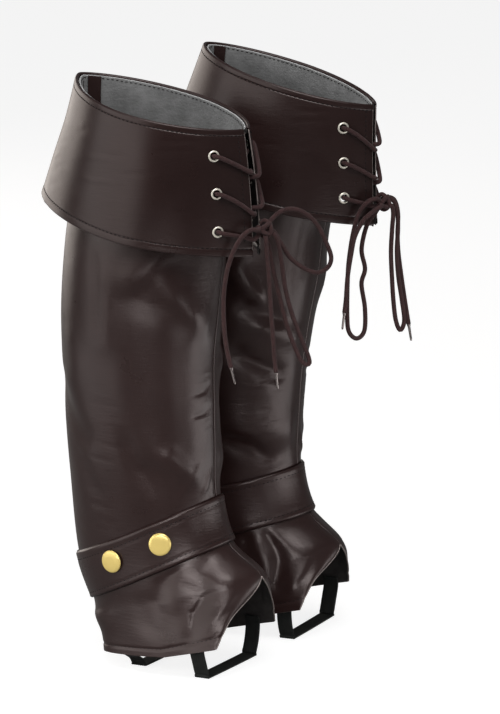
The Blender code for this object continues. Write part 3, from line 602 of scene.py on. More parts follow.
def make_metal(name, colour, roughness, scratch, metallic=1.0):
    finish, tree, shader = new_material(name, colour, roughness, Metallic=metallic)
    point = object_point(tree)
    worn = effect(tree, MOTTLE, point, Scale=380.0, Low=roughness * (1.0 - scratch),
                  High=roughness * (1.0 + scratch))
    tree.links.new(worn, shader.inputs["Roughness"])
    bumped(tree, shader, (effect(tree, GRAIN, point, Cells_a_metre=2600.0), scratch, 0.00004))
    return finish


lace_braid = make_lace()
nickel = make_metal("pale nickel", (1.0, 0.94, 0.82), 0.36, 0.15, 0.45)
gold = make_metal("polished gold", (1.0, 0.76, 0.25), 0.2, 0.0, 0.3)
tip_metal = make_metal("aglet metal", (0.30, 0.26, 0.25), 0.3, 0.15)

# %% [markdown]
# The record knows six finishes.


# %% [markdown]
# ## Pieces from a grid or a ring
#
# Two ways make nearly every piece. A cloth is a grid whose points are moved onto its surface, with a
# wall from the Solidify modifier. A lace, a strap's edge or a band is a ring that is extruded along a
# route. Both are applied at once, so that the piece's mesh is the same one that is measured.

# %% Making and keeping a piece
def from_bmesh(name, bm):
    """A new object in the scene from a bmesh."""
    mesh = bpy.data.meshes.new(name)
    bm.to_mesh(mesh)
    bm.free()
    return added(name, mesh)


def kept(name, bm, finishes, node=None):
    """A piece on the scene's root body, with its finishes; node is what it replaces."""
    piece = from_bmesh(name, bm)
    piece.data.shade_smooth()
    for finish in finishes:
        piece.data.materials.append(finish)
    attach(piece, "root")
    if node:
        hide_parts(node)
    return piece


def apply_modifiers(piece):
    """The piece's mesh becomes what its modifiers make of it."""
    graph = bpy.context.evaluated_depsgraph_get()
    done = bpy.data.meshes.new_from_object(piece.evaluated_get(graph))
    piece.modifiers.clear()
    old = piece.data
    piece.data = done
    bpy.data.meshes.remove(old)
    done.name = piece.name
    return piece


def surface_normals(points, inside):
    """The outward normals of a grid of points, away from a point inside."""
    normals = np.cross(np.gradient(points, axis=1), np.gradient(points, axis=0))
    normals /= np.maximum(np.linalg.norm(normals, axis=2, keepdims=True), 1e-12)
    facing = np.sum(normals * (points - np.array(inside)), axis=2).sum()
    return normals if facing > 0.0 else -normals


def cloth(name, points, inside, finishes, thickness, node):
    """A wall of cloth that grows inwards from a grid of points, points[row][column]."""
    rows, columns = points.shape[:2]
    bm = bmesh.new()
    bmesh.ops.create_grid(bm, x_segments=columns - 1, y_segments=rows - 1, size=1.0)
    order = sorted(bm.verts, key=lambda v: (-round(v.co.y, 6), round(v.co.x, 6)))
    for vert, point in zip(order, points.reshape(-1, 3)):
        vert.co = point
    bm.normal_update()
    if sum(face.normal.dot(face.calc_center_median() - inside) for face in bm.faces) < 0.0:
        bmesh.ops.reverse_faces(bm, faces=bm.faces)
    piece = kept(name, bm, finishes, node)
    wall = piece.modifiers.new("Wall", "SOLIDIFY")
    wall.thickness = thickness * MM
    wall.offset = -1.0
    wall.material_offset = min(1, len(finishes) - 1)
    wall.material_offset_rim = min(2, len(finishes) - 1)
    return apply_modifiers(piece)


def ring_body(name, rings, finish, node=None, uv_round=None):
    """A closed body through rings of points, rings[number][point]: a circle extruded along them."""
    bm = bmesh.new()
    ring = bmesh.ops.create_circle(bm, cap_ends=False, segments=rings.shape[1], radius=1.0)["verts"]
    first = edges = list(bm.edges)
    for vert, point in zip(ring, rings[0]):
        vert.co = point
    for points in rings[1:]:
        made = bmesh.ops.extrude_edge_only(bm, edges=edges)["geom"]
        edges = [item for item in made if isinstance(item, bmesh.types.BMEdge)]
        verts = [item for item in made if isinstance(item, bmesh.types.BMVert)]
        for vert, point in zip(verts, points):
            vert.co = point
    for end in (first, edges):
        bmesh.ops.holes_fill(bm, edges=end, sides=0)
    bmesh.ops.recalc_face_normals(bm, faces=bm.faces)
    if uv_round is not None:
        map_rings(bm, rings, uv_round)
    return kept(name, bm, [finish], node)


def map_rings(bm, rings, radius):
    """A map along and round a tube, in millimetres."""
    count = rings.shape[1]
    distances = walked(rings.mean(axis=1)) / MM
    layer = bm.loops.layers.uv.new("along and round")
    bm.verts.index_update()
    for face in bm.faces:
        if len(face.verts) != 4:
            continue
        turns = [loop.vert.index % count for loop in face.loops]
        wraps = max(turns) - min(turns) > 1
        for loop, turn in zip(face.loops, turns):
            number = min(loop.vert.index // count, len(distances) - 1)
            turn = turn + count if wraps and turn == 0 else turn
            loop[layer].uv = (distances[number], turn / count * math.tau * radius)


def tube_rings(route, radius, sides):
    """Rings of points round a route, none twisted against the one before."""
    tangents = np.gradient(route, axis=0)
    tangents /= np.linalg.norm(tangents, axis=1, keepdims=True)
    side = Vector(tangents[0]).orthogonal().normalized()
    rings = []
    for point, tangent in zip(route, tangents):
        tangent = Vector(tangent)
        side = (side - tangent * side.dot(tangent)).normalized()
        other = tangent.cross(side)
        rings.append([Vector(point) + (side * math.cos(turn) + other * math.sin(turn)) * radius
                      for turn in (math.tau * k / sides for k in range(sides))])
    return np.array(rings)


# %% The laces themselves
LACE_STEP = 1.5 * MM
LACE_SIDES = 16
KNOT_REACH = 0.7               # how far on a lace goes, from the end of its solid to the knot's middle
lace_routes = {}


def tied_in(cover, points, both_ends):
    """A route that starts inside the knot, and ends there too where the lace comes back to it."""
    middle = placed_point(cover, *KNOTS[cover.name])
    end = [Vector(points[-1]).lerp(middle, KNOT_REACH)] if both_ends else []
    return [Vector(points[0]).lerp(middle, KNOT_REACH), *points, *end]


for cover in COVERS:
    routes = {"lacing": lacing_route(cover)}
    for name, route in BOWS[cover.name].items():
        routes[name] = [placed_point(cover, *point) for point in route]
    for name, points in routes.items():
        points = tied_in(cover, points, not name.endswith("tail"))
        lace_routes[f"{cover.name}_{name}"] = smooth_route(points, LACE_STEP)
for name, route in lace_routes.items():
    rings = tube_rings(route, LACE_RADIUS * MM, LACE_SIDES)
    ring_body(f"{name}_braid", rings, lace_braid, name, uv_round=LACE_RADIUS)
    print(f"{name}: {strides(route).sum() * 1000:.0f} mm of lace")

# %% [markdown]
# ## The leg panels
#
# A leg is two panels, sewn together down the front and the back. Their folds are troughs and ridges
# along lines on the leg, each from one height and angle to another. A surface point moves in or out by
# the sum of all folds near it. The large folds are those of the solid; the small ones are only here.

# %% The folds of the leather
Fold = namedtuple("Fold", "height1 angle1 height2 angle2 half_width depth")
FOLDS = {
    OUTER: [Fold(*row) for row in (
        (378, 50, 348, 74, 13, 1.5), (345, 56, 302, 18, 13, 1.9), (330, 70, 318, 40, 14, -1.4),
        (392, 94, 290, 94, 14, 1.4), (186, 48, 152, 14, 9, 2.4), (176, 62, 140, 36, 9, -2.2),
        (240, 150, 200, 120, 13, -2.4), (92, 84, 40, 92, 10, -1.3), (80, 52, 34, 58, 9, -1.7),
        (96, 30, 52, 40, 9, 1.7),
    )],
    INNER: [Fold(*row) for row in (
        (326, 74, 304, 58, 12, 3.2), (294, 62, 282, 38, 8, -3.2), (272, 46, 262, 20, 10, 2.6),
        (250, 64, 230, 30, 10, -3.2), (180, 62, 174, 26, 22, 3.4), (168, 70, 150, 40, 8, -3.6),
        (140, 38, 130, 68, 8, 2.4), (340, 140, 250, 120, 14, 2.8), (94, 66, 50, 70, 7, 2.2),
        (92, 50, 46, 58, 7, -2.2), (96, 30, 50, 44, 8, 2.2),
    )],
}
LEG_GIRTH_RADIUS = 60.0        # turns an angle round the leg into a distance along it


def near_path(path, angle, up):
    """How far each place lies from a path on the leg, how far along it in shares, and on which side."""
    across = np.radians(angle) * LEG_GIRTH_RADIUS
    shape = np.broadcast(angle, up).shape
    nearest, along, flank = np.full(shape, 1e9), np.zeros(shape), np.zeros(shape)
    gone = 0.0
    spots = [(math.radians(a) * LEG_GIRTH_RADIUS, h) for h, a in path]
    for (ax, ay), (bx, by) in zip(spots, spots[1:]):
        length = math.dist((ax, ay), (bx, by))
        dx, dy = (bx - ax) / length, (by - ay) / length
        near = np.clip((across - ax) * dx + (up - ay) * dy, 0.0, length)
        off = np.hypot(across - ax - near * dx, up - ay - near * dy)
        closer = off < nearest
        nearest = np.where(closer, off, nearest)
        along = np.where(closer, gone + near, along)
        flank = np.where(closer, np.sign((up - ay) * dx - (across - ax) * dy), flank)
        gone += length
    return nearest, along / gone, flank


def fold_height(folds, angle, up):
    """How far the folds lift or sink the leather at each place."""
    return sum(fold.depth * bell(near_path((fold[:2], fold[2:4]), angle, up)[0], fold.half_width)
               for fold in folds)


# %% [markdown]
# A crease is narrower than a fold. It bends along its path, which is given as heights and angles, it
# fades out at both ends, and one of its flanks may be steeper than the other. Wrinkles are short shallow
# creases that lie nearly level, in groups, each a little different.

# %% Creases and wrinkles
Crease = namedtuple("Crease", "half_width depth skew path")
OUTER_CREASES = [Crease(*sizes, path) for *sizes, path in (
    (9, 0.9, 0.2, ((374, 55), (360, 63), (343, 72), (327, 82))),
    (7, -0.8, 0, ((364, 47), (351, 58), (331, 66))),
    (8, 1.1, -0.3, ((335, 54), (323, 39), (304, 21))),
    (8, -0.7, 0, ((331, 63), (313, 46), (292, 28))),
    (6, 0.8, 0, ((372, 92), (327, 89), (275, 91))),
    (5, -0.8, 0, ((380, 103), (335, 99), (292, 96))),
    (7, -1.7, 0.25, ((214, 82), (181, 72), (150, 58))),
    (9, 1.1, 0, ((216, 66), (178, 56), (150, 42))),
    (3.6, 0.9, 0, ((182, 16), (166, 31), (150, 45))),
    (3.2, -0.8, 0, ((176, 25), (160, 38), (148, 48))),
    (2.4, 1.2, 0, ((172, 6), (159, 13), (148, 21))),
    (2.2, 1.0, 0, ((164, 4), (154, 6), (146, 6))),
    (2.6, -0.8, 0.3, ((249, 5), (242, 12), (240, 24))),
    (2.8, -0.8, 0.3, ((229, 5), (223, 12), (221, 27))),
    (12, 1.2, 0, ((300, 128), (262, 122), (232, 132))),
    (9, -1.0, 0.2, ((196, 140), (172, 118), (140, 104))),
    (3.4, -1.6, 0.3, ((96, 50), (75, 70), (59, 81), (44, 85))),
    (3, -1.4, -0.3, ((75, 44), (66, 53), (54, 60), (38, 58))),
    (6, 1.1, 0, ((84, 56), (66, 70), (50, 78))),
    (6.5, 1.3, 0, ((100, 12), (82, 38), (58, 52))),
    (3.6, -1.1, 0, ((98, 30), (84, 45), (66, 56))),
    (2, -0.8, 0, ((39, 20), (35, 29), (31, 38))),
)]
INNER_CREASES = [Crease(*sizes, path) for *sizes, path in (
    (5, -2.0, -0.3, ((332, 66), (306, 51), (287, 42))),
    (4, -1.1, 0.3, ((248, 62), (240, 44), (233, 27))),
    (5, -2.0, -0.3, ((174, 72), (166, 52), (152, 36))),
    (4.5, 1.4, 0, ((128, 68), (138, 50), (146, 36), (150, 22))),
    (9, -1.4, 0.2, ((352, 90), (310, 96), (262, 92))),
    (10, 1.4, 0, ((330, 108), (280, 112), (236, 104))),
    (8, -1.6, 0, ((214, 104), (184, 90), (150, 84))),
    (9, 1.2, 0, ((196, 148), (166, 130), (132, 118))),
    (3.6, -1.5, 0, ((94, 66), (78, 71), (58, 76))),
    (3.4, -1.5, 0, ((94, 52), (75, 56), (52, 61))),
    (5, 1.4, 0, ((94, 45), (73, 48), (48, 54))),
    (5, -1.0, 0, ((90, 30), (74, 36), (54, 36))),
    (6, 1.0, 0, ((84, 88), (62, 96), (44, 98))),
)]
WrinkleGroup = namedtuple("WrinkleGroup", "seed count heights angles span slope half_width depth")
OUTER_WRINKLES = (
    WrinkleGroup(3, 12, (188.0, 262.0), (7.0, 26.0), 14.0, 0.25, 1.5, 0.15),
    WrinkleGroup(5, 10, (112.0, 146.0), (92.0, 140.0), 22.0, -0.1, 1.5, 0.22),
    WrinkleGroup(7, 7, (150.0, 250.0), (60.0, 130.0), 26.0, -0.1, 1.8, 0.18),
    WrinkleGroup(8, 8, (96.0, 106.0), (8.0, 26.0), 8.0, 0.6, 1.5, 0.2),
)
INNER_WRINKLES = (
    WrinkleGroup(11, 18, (172.0, 236.0), (22.0, 60.0), 20.0, 0.12, 1.4, 0.24),
    WrinkleGroup(13, 6, (240.0, 300.0), (20.0, 50.0), 16.0, 0.3, 1.5, 0.2),
    WrinkleGroup(17, 10, (116.0, 150.0), (94.0, 140.0), 22.0, -0.1, 1.5, 0.22),
)


def wrinkles(groups):
    """Short creases scattered evenly but not regularly over each group's area."""
    result = []
    for group in groups:
        chance = random.Random(group.seed)
        for number in range(group.count):
            share = (number + chance.uniform(0.1, 0.9)) / group.count
            height = group.heights[0] + share * (group.heights[1] - group.heights[0])
            middle = chance.uniform(*group.angles)
            reach = group.span * chance.uniform(0.35, 0.6)
            drop = group.slope * reach * chance.uniform(0.5, 1.5)
            sag = chance.uniform(-1.5, 2.5)
            path = ((height + drop, middle - reach), (height - sag, middle), (height - drop, middle + reach))
            depth = group.depth * chance.uniform(0.6, 1.3) * chance.choice((-1.0, -1.0, 1.0))
            result.append(Crease(group.half_width * chance.uniform(0.8, 1.3), depth, 0.0, path))
    return result


CREASES = {
    OUTER: OUTER_CREASES + wrinkles(OUTER_WRINKLES),
    INNER: INNER_CREASES + wrinkles(INNER_WRINKLES),
}


def crease_height(creases, angle, up):
    """How far the creases lift or sink the leather at each place."""
    total = np.zeros(np.broadcast(angle, up).shape)
    for crease in creases:
        nearest, share, flank = near_path(crease.path, angle, up)
        fade = ramp(share, -0.12, 0.3) * ramp(1.0 - share, -0.12, 0.3)
        total += crease.depth * fade * bell(nearest, crease.half_width * (1.0 + crease.skew * flank))
    return total


# %% [markdown]
# Folds and creases die out towards the seams, under the cuff and the strap, and above the foot's hem.
# Along a seam each panel's edge is turned in, so the surface sinks there in a quarter circle.

# %% The surface of a leg
STRAP_LEVELS = (8.0, 9.0)
FOOT_HEM_LINE = 11.5           # the level of the crease above the foot's turned-up hem
HEM_GROOVE = 0.5
HEM_BULGE = 0.15
SHARP = 0.01                   # a turn-in that is too small to be seen


def within(level, start, full, still_full, end):
    """1 in a band of levels and 0 outside it."""
    return ramp(level, start, full) * (1.0 - ramp(level, still_full, end))


def turned_in(distance, radius):
    """How far an edge with a turn-in has sunk at a distance from it."""
    return radius * (1.0 - np.sqrt(1.0 - (1.0 - np.clip(distance / radius, 0.0, 1.0)) ** 2))


def leg_surface(cover, side, levels, angles, seam=SEAM, turn_in=1.5):
    """Places on the outside of a leg, as three arrays with a row for each level."""
    rows = leg_rows(cover)
    forward, outward, up = outlines(rows, levels, side, angles, seam)
    centre = np.array([row_between(rows, level).side[0] for level in levels])[:, None]
    level = np.array(levels)[:, None]
    angle = np.broadcast_to(np.array(angles)[None, :], forward.shape)
    from_back = 180.0 - angle
    calm = ramp(angle, 0.0, 16.0) * ramp(from_back, 0.0, 16.0) * ramp(level, 1.6, 3.0)
    calm = calm * (1.0 - 0.85 * within(level, 7.3, 7.9, 9.1, 9.8)) * (1.0 - ramp(level, 11.2, 12.0))
    free = ramp(angle, 0.0, 6.0) * ramp(from_back, 0.0, 10.0) * ramp(level, 2.3, 3.2)
    free = free * (1.0 - within(level, 7.75, 8.0, 9.0, 9.2)) * (1.0 - ramp(level, 11.25, 11.5))
    lift = calm * fold_height(FOLDS[side], angle, up) + free * crease_height(CREASES[side], angle, up)
    lift = lift + HEM_BULGE * ramp(level, FOOT_HEM_LINE, FOOT_HEM_LINE + 0.2)
    lift = lift - HEM_GROOVE * bell(level - FOOT_HEM_LINE, 0.07)
    reach = np.maximum(np.hypot(forward - centre, outward), 1.0)
    arc = np.concatenate([[0.0], np.cumsum(np.radians(np.diff(angles)) * LEG_GIRTH_RADIUS)])
    dip = turned_in(arc, turn_in)[None, :] * (1.0 - ramp(level, 9.2, 9.9))
    dip = dip + turned_in(arc[-1] - arc, turn_in)[None, :] * (1.0 - ramp(level, 8.3, 8.9))
    forward = forward + (lift - dip) * (forward - centre) / reach
    outward = outward + lift * outward / reach
    return forward, outward, up


def leg_middle(cover, level):
    """A point in the middle of the leg's hollow."""
    side = row_between(leg_rows(cover), level).side
    return placed_point(cover, side[0], 0.0, side[2])


# %% The panels
EDGE_ANGLES = (0.0, 0.5, 1.0, 1.5, 2.0, 2.6, 3.3, 4.2, 5.5)
PANEL_ANGLES = np.array([*EDGE_ANGLES, *np.arange(7.0, 173.5, 1.95),
                         *(180.0 - angle for angle in EDGE_ANGLES[::-1])])
PANEL_LEVELS = np.concatenate([np.arange(0.22, 12.0, 0.04), [12.0]])
WALL = 1.0
VISUAL_SEAM = 0.1


def make_panel(cover, side):
    points = placed(cover, *leg_surface(cover, side, PANEL_LEVELS, PANEL_ANGLES, VISUAL_SEAM))
    node = f"{cover.name}_leg_{SIDE_NAMES[side]}"
    finishes = [leather, leather_back, raw_edge]
    return cloth(f"{node}_leather", points, leg_middle(cover, 5.0), finishes, WALL, node)


panels = {(cover.name, side): make_panel(cover, side) for cover in COVERS for side in (OUTER, INNER)}
print("panels:", {key: len(piece.data.polygons) for key, piece in panels.items()})

# %% [markdown]
# ## The cuffs
#
# A cuff is one flared band. Its rim and its hem are turned over to the inside, so the grid goes on
# round each of them in a half circle and a little way back up or down.

# %% Turned edges
CUFF_ANGLES = np.array([0.0, 0.6, 1.3, 2.2, 3.2, 4.4, 5.6, 7.0, *np.arange(9.0, 176.0, 2.0)])


def turned_edge(points, inside, radius, depth):
    """Rows that carry a grid's last row round a half circle and on along its inner face."""
    edge, normal = points[-1], surface_normals(points, inside)[-1]
    away = edge - points[-2]
    away -= normal * np.sum(away * normal, axis=1, keepdims=True)
    away /= np.linalg.norm(away, axis=1, keepdims=True)
    rows = [edge + away * radius * math.sin(turn) - normal * radius * (1.0 - math.cos(turn))
            for turn in np.radians((30.0, 60.0, 90.0, 120.0, 150.0, 180.0))]
    return np.array(rows + [edge - normal * 2.0 * radius - away * depth])


def cuff_surface(cover, levels):
    """The cuff's outside, one grid all round."""
    parts = ((OUTER, CUFF_ANGLES), (OUTER, np.array([180.0])), (INNER, CUFF_ANGLES[::-1]))
    return joined([outlines(cover.cuff, levels, side, turns) for side, turns in parts])


# %% [markdown]
# Each turned edge is held by a row of topstitching, which sinks into the leather. Between the stitching
# and the edge the band is double and stands a little proud. The eyelets' holes are cut through the wall.

# %% The cuffs
RIM_RADIUS = 1.6 * MM
RIM_DEPTH = 3.5 * MM
HEM_RADIUS = 1.2 * MM
HEM_DEPTH = 6.0 * MM
RIM_LIFT = 0.1
HEM_LIFT = 0.3
LINE_DIP = 0.35
CUFF_LINES = (0.17, 2.77)      # the levels of the two rows of topstitching
LINE_STEPS = (-0.05, -0.035, -0.02, -0.01, 0.0, 0.01, 0.02, 0.035, 0.05)
CUFF_LEVELS = np.unique(np.round([0.0, 0.02, 0.05, *np.arange(0.08, 2.95, 0.04), 2.96, 3.0,
                                  *(line + step for line in CUFF_LINES for step in LINE_STEPS)], 3))
HOLE_RADIUS = 3.5
CUFF_WRINKLES = wrinkles((
    WrinkleGroup(21, 9, (392.0, 470.0), (122.0, 166.0), 16.0, 0.5, 1.6, 0.35),
    WrinkleGroup(23, 9, (425.0, 485.0), (40.0, 110.0), 22.0, 0.1, 1.8, 0.25),
))


def cuff_relief(levels):
    """How far the turned edges and the stitching lift or sink the cuff at each level, in millimetres."""
    lift = RIM_LIFT * (1.0 - ramp(levels, 0.05, 0.16)) + HEM_LIFT * ramp(levels, 2.78, 2.86)
    for line in CUFF_LINES:
        lift = lift - LINE_DIP * bell(levels - line, 0.018)
    return lift


def cut_holes(piece, places, radius):
    """Round holes through a wall, at points with the wall's normals."""
    bm = bmesh.new()
    for spot, normal in places:
        turn = normal.to_track_quat("Z", "Y").to_matrix().to_4x4()
        bmesh.ops.create_cone(bm, cap_ends=True, segments=32, radius1=radius, radius2=radius, depth=10 * MM,
                              matrix=Matrix.Translation(spot) @ turn)
    punch = from_bmesh("punch", bm)
    holes = piece.modifiers.new("Holes", "BOOLEAN")
    holes.operation = "DIFFERENCE"
    holes.object = punch
    apply_modifiers(piece)
    bpy.data.objects.remove(punch)
    piece.data.shade_smooth()


def make_cuff(cover):
    forward, outward, up = cuff_surface(cover, CUFF_LEVELS)
    points = placed(cover, forward, outward, up)
    inside = leg_middle(cover, 1.0)
    turns = np.concatenate([CUFF_ANGLES, [180.0], CUFF_ANGLES[::-1]])
    relief = cuff_relief(CUFF_LEVELS)[:, None] + crease_height(CUFF_WRINKLES, turns[None, :], up)
    points = points + surface_normals(points, inside) * relief[:, :, None] * MM
    rim = turned_edge(points[::-1], inside, RIM_RADIUS, RIM_DEPTH)[::-1]
    hem = turned_edge(points, inside, HEM_RADIUS, HEM_DEPTH)
    node = f"{cover.name}_cuff"
    piece = cloth(f"{node}_leather", np.concatenate([rim, points, hem]), inside,
                  [leather, leather_back, leather], WALL, node)
    cut_holes(piece, [on_cuff(cover, side, cover.eyelet_reach, level)
                      for level in cover.eyelet_rows for side in (OUTER, INNER)], HOLE_RADIUS * MM)
    return piece


cuffs = {cover.name: make_cuff(cover) for cover in COVERS}
print("cuffs:", {name: len(piece.data.polygons) for name, piece in cuffs.items()})

# %% [markdown]
# ## Sewing and raw edges
#
# A row of stitches is a row of short rounded bars of thread, a little sunk in the leather. A raw edge is
# a thin bead of the leather's pale knit, or of the lining, where it was cut and shows beside the dark
# film: along the vamp, down both edges of the slit and round the top of the lining. Behind each seam of
# the leg the panels' edges are turned in, which one thicker bead stands for.

# %% Stitches and beads
THREAD_RADIUS = 0.42
THREAD_SEAT = 0.15             # how far a thread's middle lies below the leather beside it
STITCH_LENGTH = 2.8
STITCH_GAP = 1.3
EDGE_LINE = 8.0                # the stitching beside the slit, from its edge
BEAD_RADIUS = 0.55
BEAD_SIDES = 8
ALLOWANCE_RADIUS = 1.0
ALLOWANCE_DEPTH = 1.3
SLIT_EDGE_DEPTH = 0.45         # how far in from the cuff's face its raw edge lies


def stitches(name, lines):
    """Rows of stitches as one piece, each row given as its points and the normals there."""
    bm = bmesh.new()
    for points, normals in lines:
        distances = walked(points)
        length = STITCH_LENGTH * MM
        for start in np.arange(0.0, distances[-1] - length, (STITCH_LENGTH + STITCH_GAP) * MM):
            ends = [Vector(spots_at(place, distances, points)) for place in (start, start + length)]
            normal = Vector(spots_at(start, distances, normals))
            along = (ends[1] - ends[0]).normalized()
            side = normal.cross(along).normalized()
            turn = Matrix((along, side, along.cross(side))).transposed().to_4x4()
            size = Matrix.Diagonal((STITCH_LENGTH / 2 * MM, THREAD_RADIUS * MM, THREAD_RADIUS * MM, 1.0))
            place = Matrix.Translation((ends[0] + ends[1]) / 2) @ turn @ size
            bmesh.ops.create_icosphere(bm, subdivisions=1, radius=1.0, matrix=place)
    return kept(name, bm, [thread])


def line_on(grid, inside):
    """The middle one of a grid's three rows, for a thread that is a little sunk, and its normals."""
    normals = surface_normals(grid, inside)[1]
    return grid[1] - normals * THREAD_SEAT * MM, normals


def cuff_rows(cover):
    """The stitching along the cuff's rim and hem, and beside both edges of the slit."""
    inside = leg_middle(cover, 1.0)
    rows = []
    for line in CUFF_LINES:
        grid = placed(cover, *cuff_surface(cover, np.array([line - 0.03, line, line + 0.03])))
        rows.append(line_on(grid, inside))
    for side in (OUTER, INNER):
        spots = [on_cuff(cover, side, EDGE_LINE, level) for level in np.arange(*CUFF_LINES, 0.1)]
        rows.append(tuple(np.array([tuple(pair[k]) for pair in spots]) for k in (0, 1)))
    return rows


def foot_rows(cover, side):
    """The stitching above the foot's hem and beside its open back edge."""
    inside = leg_middle(cover, 11.0)
    hem_levels = np.array([FOOT_HEM_LINE - 0.1, FOOT_HEM_LINE, FOOT_HEM_LINE + 0.1])
    hem = placed(cover, *leg_surface(cover, side, hem_levels, np.arange(3.0, 177.0, 1.5), turn_in=SHARP))
    levels = np.arange(9.3, FOOT_HEM_LINE - 0.05, 0.08)
    edge = placed(cover, *leg_surface(cover, side, levels, np.array([172.0, 174.5, 177.0]), turn_in=SHARP))
    return [line_on(hem, inside), (edge[:, 1], surface_normals(edge, inside)[:, 1])]


def bead(name, points, finish, radius=BEAD_RADIUS):
    """A thin round bead along a line of points."""
    return ring_body(name, tube_rings(np.array(points), radius * MM, BEAD_SIDES), finish)


def seam_allowance(cover, name, angles, at, inwards, levels):
    """The turned-in edges behind a seam of the leg, as one bead along its inside."""
    forward, outward, up = leg_surface(cover, OUTER, levels, np.array(angles), seam=0.0)
    line = placed(cover, forward[:, at] + inwards, outward[:, at], up[:, at])
    bead(f"{cover.name}_{name}_seam_allowance", line, leather_back, ALLOWANCE_RADIUS)


def raw_edges(cover, side):
    """The beads along one side's vamp and down its edge of the slit."""
    label = f"{cover.name}_{SIDE_NAMES[side]}"
    levels = np.arange(10.0, 12.0, 0.06)
    line = placed(cover, *leg_surface(cover, side, levels, np.array([0.0, 1.0]), VISUAL_SEAM))[:, 0]
    bead(f"{label}_vamp_edge", line, raw_edge)
    line = placed(cover, *outlines(cover.cuff, np.arange(0.03, 2.9, 0.06), side, np.array([0.0])))[:, 0]
    inwards = (np.array(leg_middle(cover, 1.5)) - line) * (1.0, 1.0, 0.0)
    inwards /= np.linalg.norm(inwards, axis=1, keepdims=True)
    bead(f"{label}_slit_edge", line + inwards * SLIT_EDGE_DEPTH * MM, raw_edge)


for cover in COVERS:
    seam_allowance(cover, "front", (0.0, 1.0), 0, -ALLOWANCE_DEPTH, np.arange(2.3, 9.9, 0.08))
    seam_allowance(cover, "back", (179.0, 180.0), 1, ALLOWANCE_DEPTH, np.arange(0.3, 8.1, 0.08))
    stitches(f"{cover.name}_cuff_stitches", cuff_rows(cover))
    for side in (OUTER, INNER):
        stitches(f"{cover.name}_{SIDE_NAMES[side]}_foot_stitches", foot_rows(cover, side))
        raw_edges(cover, side)


# %% [markdown]
# ## The lining and the strip inside the back
#
# The lining is a tube of brushed cloth, open at the slit. It lies inside the leg's panels, so its grid
# is the leg's own, moved inwards along its normals.

# %% Inner layers
LINING_LEVELS = np.arange(0.03, 2.02, 0.05)
LINING_ANGLES = np.arange(5.0, 179.0, 2.0)
LINING_LINE = 0.16             # the level of the stitching round the inside of the lining
STRIP_ANGLES = np.arange(150.0, 166.1, 1.0)
STRIP_WALL = 0.8


def inner_surface(cover, levels, columns, depth):
    """The leg's outside at columns of (side, angles), moved inwards by a depth in millimetres."""
    parts = [leg_surface(cover, side, levels, angles, turn_in=SHARP) for side, angles in columns]
    points = placed(cover, *joined(parts))
    return points - surface_normals(points, leg_middle(cover, 1.0)) * depth * MM


def make_lining(cover):
    columns = ((OUTER, LINING_ANGLES), (INNER, LINING_ANGLES[::-1]))
    inside = leg_middle(cover, 1.0)
    points = inner_surface(cover, LINING_LEVELS, columns, LEATHER + LINING_GAP)
    node = f"{cover.name}_lining"
    bead(f"{node}_edge", points[0], lining_edge)
    rows = (LINING_LINE - 0.05, LINING_LINE, LINING_LINE + 0.05)
    seam = inner_surface(cover, rows, columns, LEATHER + LINING_GAP + LINING)
    stitches(f"{node}_stitches", [line_on(seam, inside)])
    return cloth(f"{node}_cloth", points, inside, [lining_cloth], LINING, node)


def make_back_strip(cover):
    depth = LEATHER + LINING + 2 * LINING_GAP + 0.3
    points = inner_surface(cover, LINING_LEVELS, ((cover.back_strip, STRIP_ANGLES),), depth)
    node = f"{cover.name}_back_strip"
    return cloth(f"{node}_leather", points, leg_middle(cover, 1.0), [leather], STRIP_WALL, node)


linings = {cover.name: make_lining(cover) for cover in COVERS}
strips = {cover.name: make_back_strip(cover) for cover in COVERS}

# %% [markdown]
# ## The strap
#
# The strap is leather folded double, so its edges are round. Its section is a flat ring whose upper
# side dips along two lines of stitching; the ring is carried round the ankle on the leg's own surface.

# %% The strap's section and route
STRAP_END = 156.0              # the angle on the outer side where the strap's free end lies
STRAP_PARTING = 5.0            # the angle left open between its two ends
STRAP_PACE = 1.2
STRAP_WIDTH_STEPS = 26
STRAP_EDGE_RADIUS = 1.4
STRAP_SEAT = 0.2               # how far the strap's stitching is sunk
STITCH_INSET = 6.0
STITCH_DIP = 0.35
STITCH_DIP_WIDTH = 0.9
STRAP_END_COLUMN = 5           # where the stitching crosses the strap, near its end


def strap_base(cover):
    """The leg's surface under the strap: a row for each step across, a column for each along."""
    levels = np.linspace(*STRAP_LEVELS, STRAP_WIDTH_STEPS + 1)
    other_end = STRAP_END + STRAP_PARTING
    courses = (
        (OUTER, np.append(np.arange(STRAP_END, 0.0, -STRAP_PACE), 0.0), -1),
        (INNER, np.arange(STRAP_PACE, 180.0, STRAP_PACE), 1),
        (OUTER, np.append(np.arange(180.0, other_end, -STRAP_PACE), other_end), -1),
    )
    parts = []
    for side, angles, way in courses:
        surface = leg_surface(cover, side, levels, angles[::way], turn_in=SHARP)
        parts.append([value[:, ::way] for value in surface])
    return placed(cover, *joined(parts))


def strap_lines(base, normals, widths):
    """The two rows of stitching along the strap, and the one across it near its end."""
    seats = base + normals * (GAP + STRAP - STRAP_SEAT) * MM
    shares = STITCH_INSET * MM / widths
    columns = np.arange(base.shape[1])
    lines = []
    for share in (shares, 1.0 - shares):
        rows = share * STRAP_WIDTH_STEPS
        low = np.floor(rows).astype(int)
        part = (rows - low)[:, None]
        seam = seats[low, columns] * (1 - part) + seats[low + 1, columns] * part
        lines.append((seam, normals[low, columns]))
    first = round(shares[STRAP_END_COLUMN] * STRAP_WIDTH_STEPS)
    across = slice(first, STRAP_WIDTH_STEPS + 1 - first)
    return lines + [(seats[across, STRAP_END_COLUMN], normals[across, STRAP_END_COLUMN])]


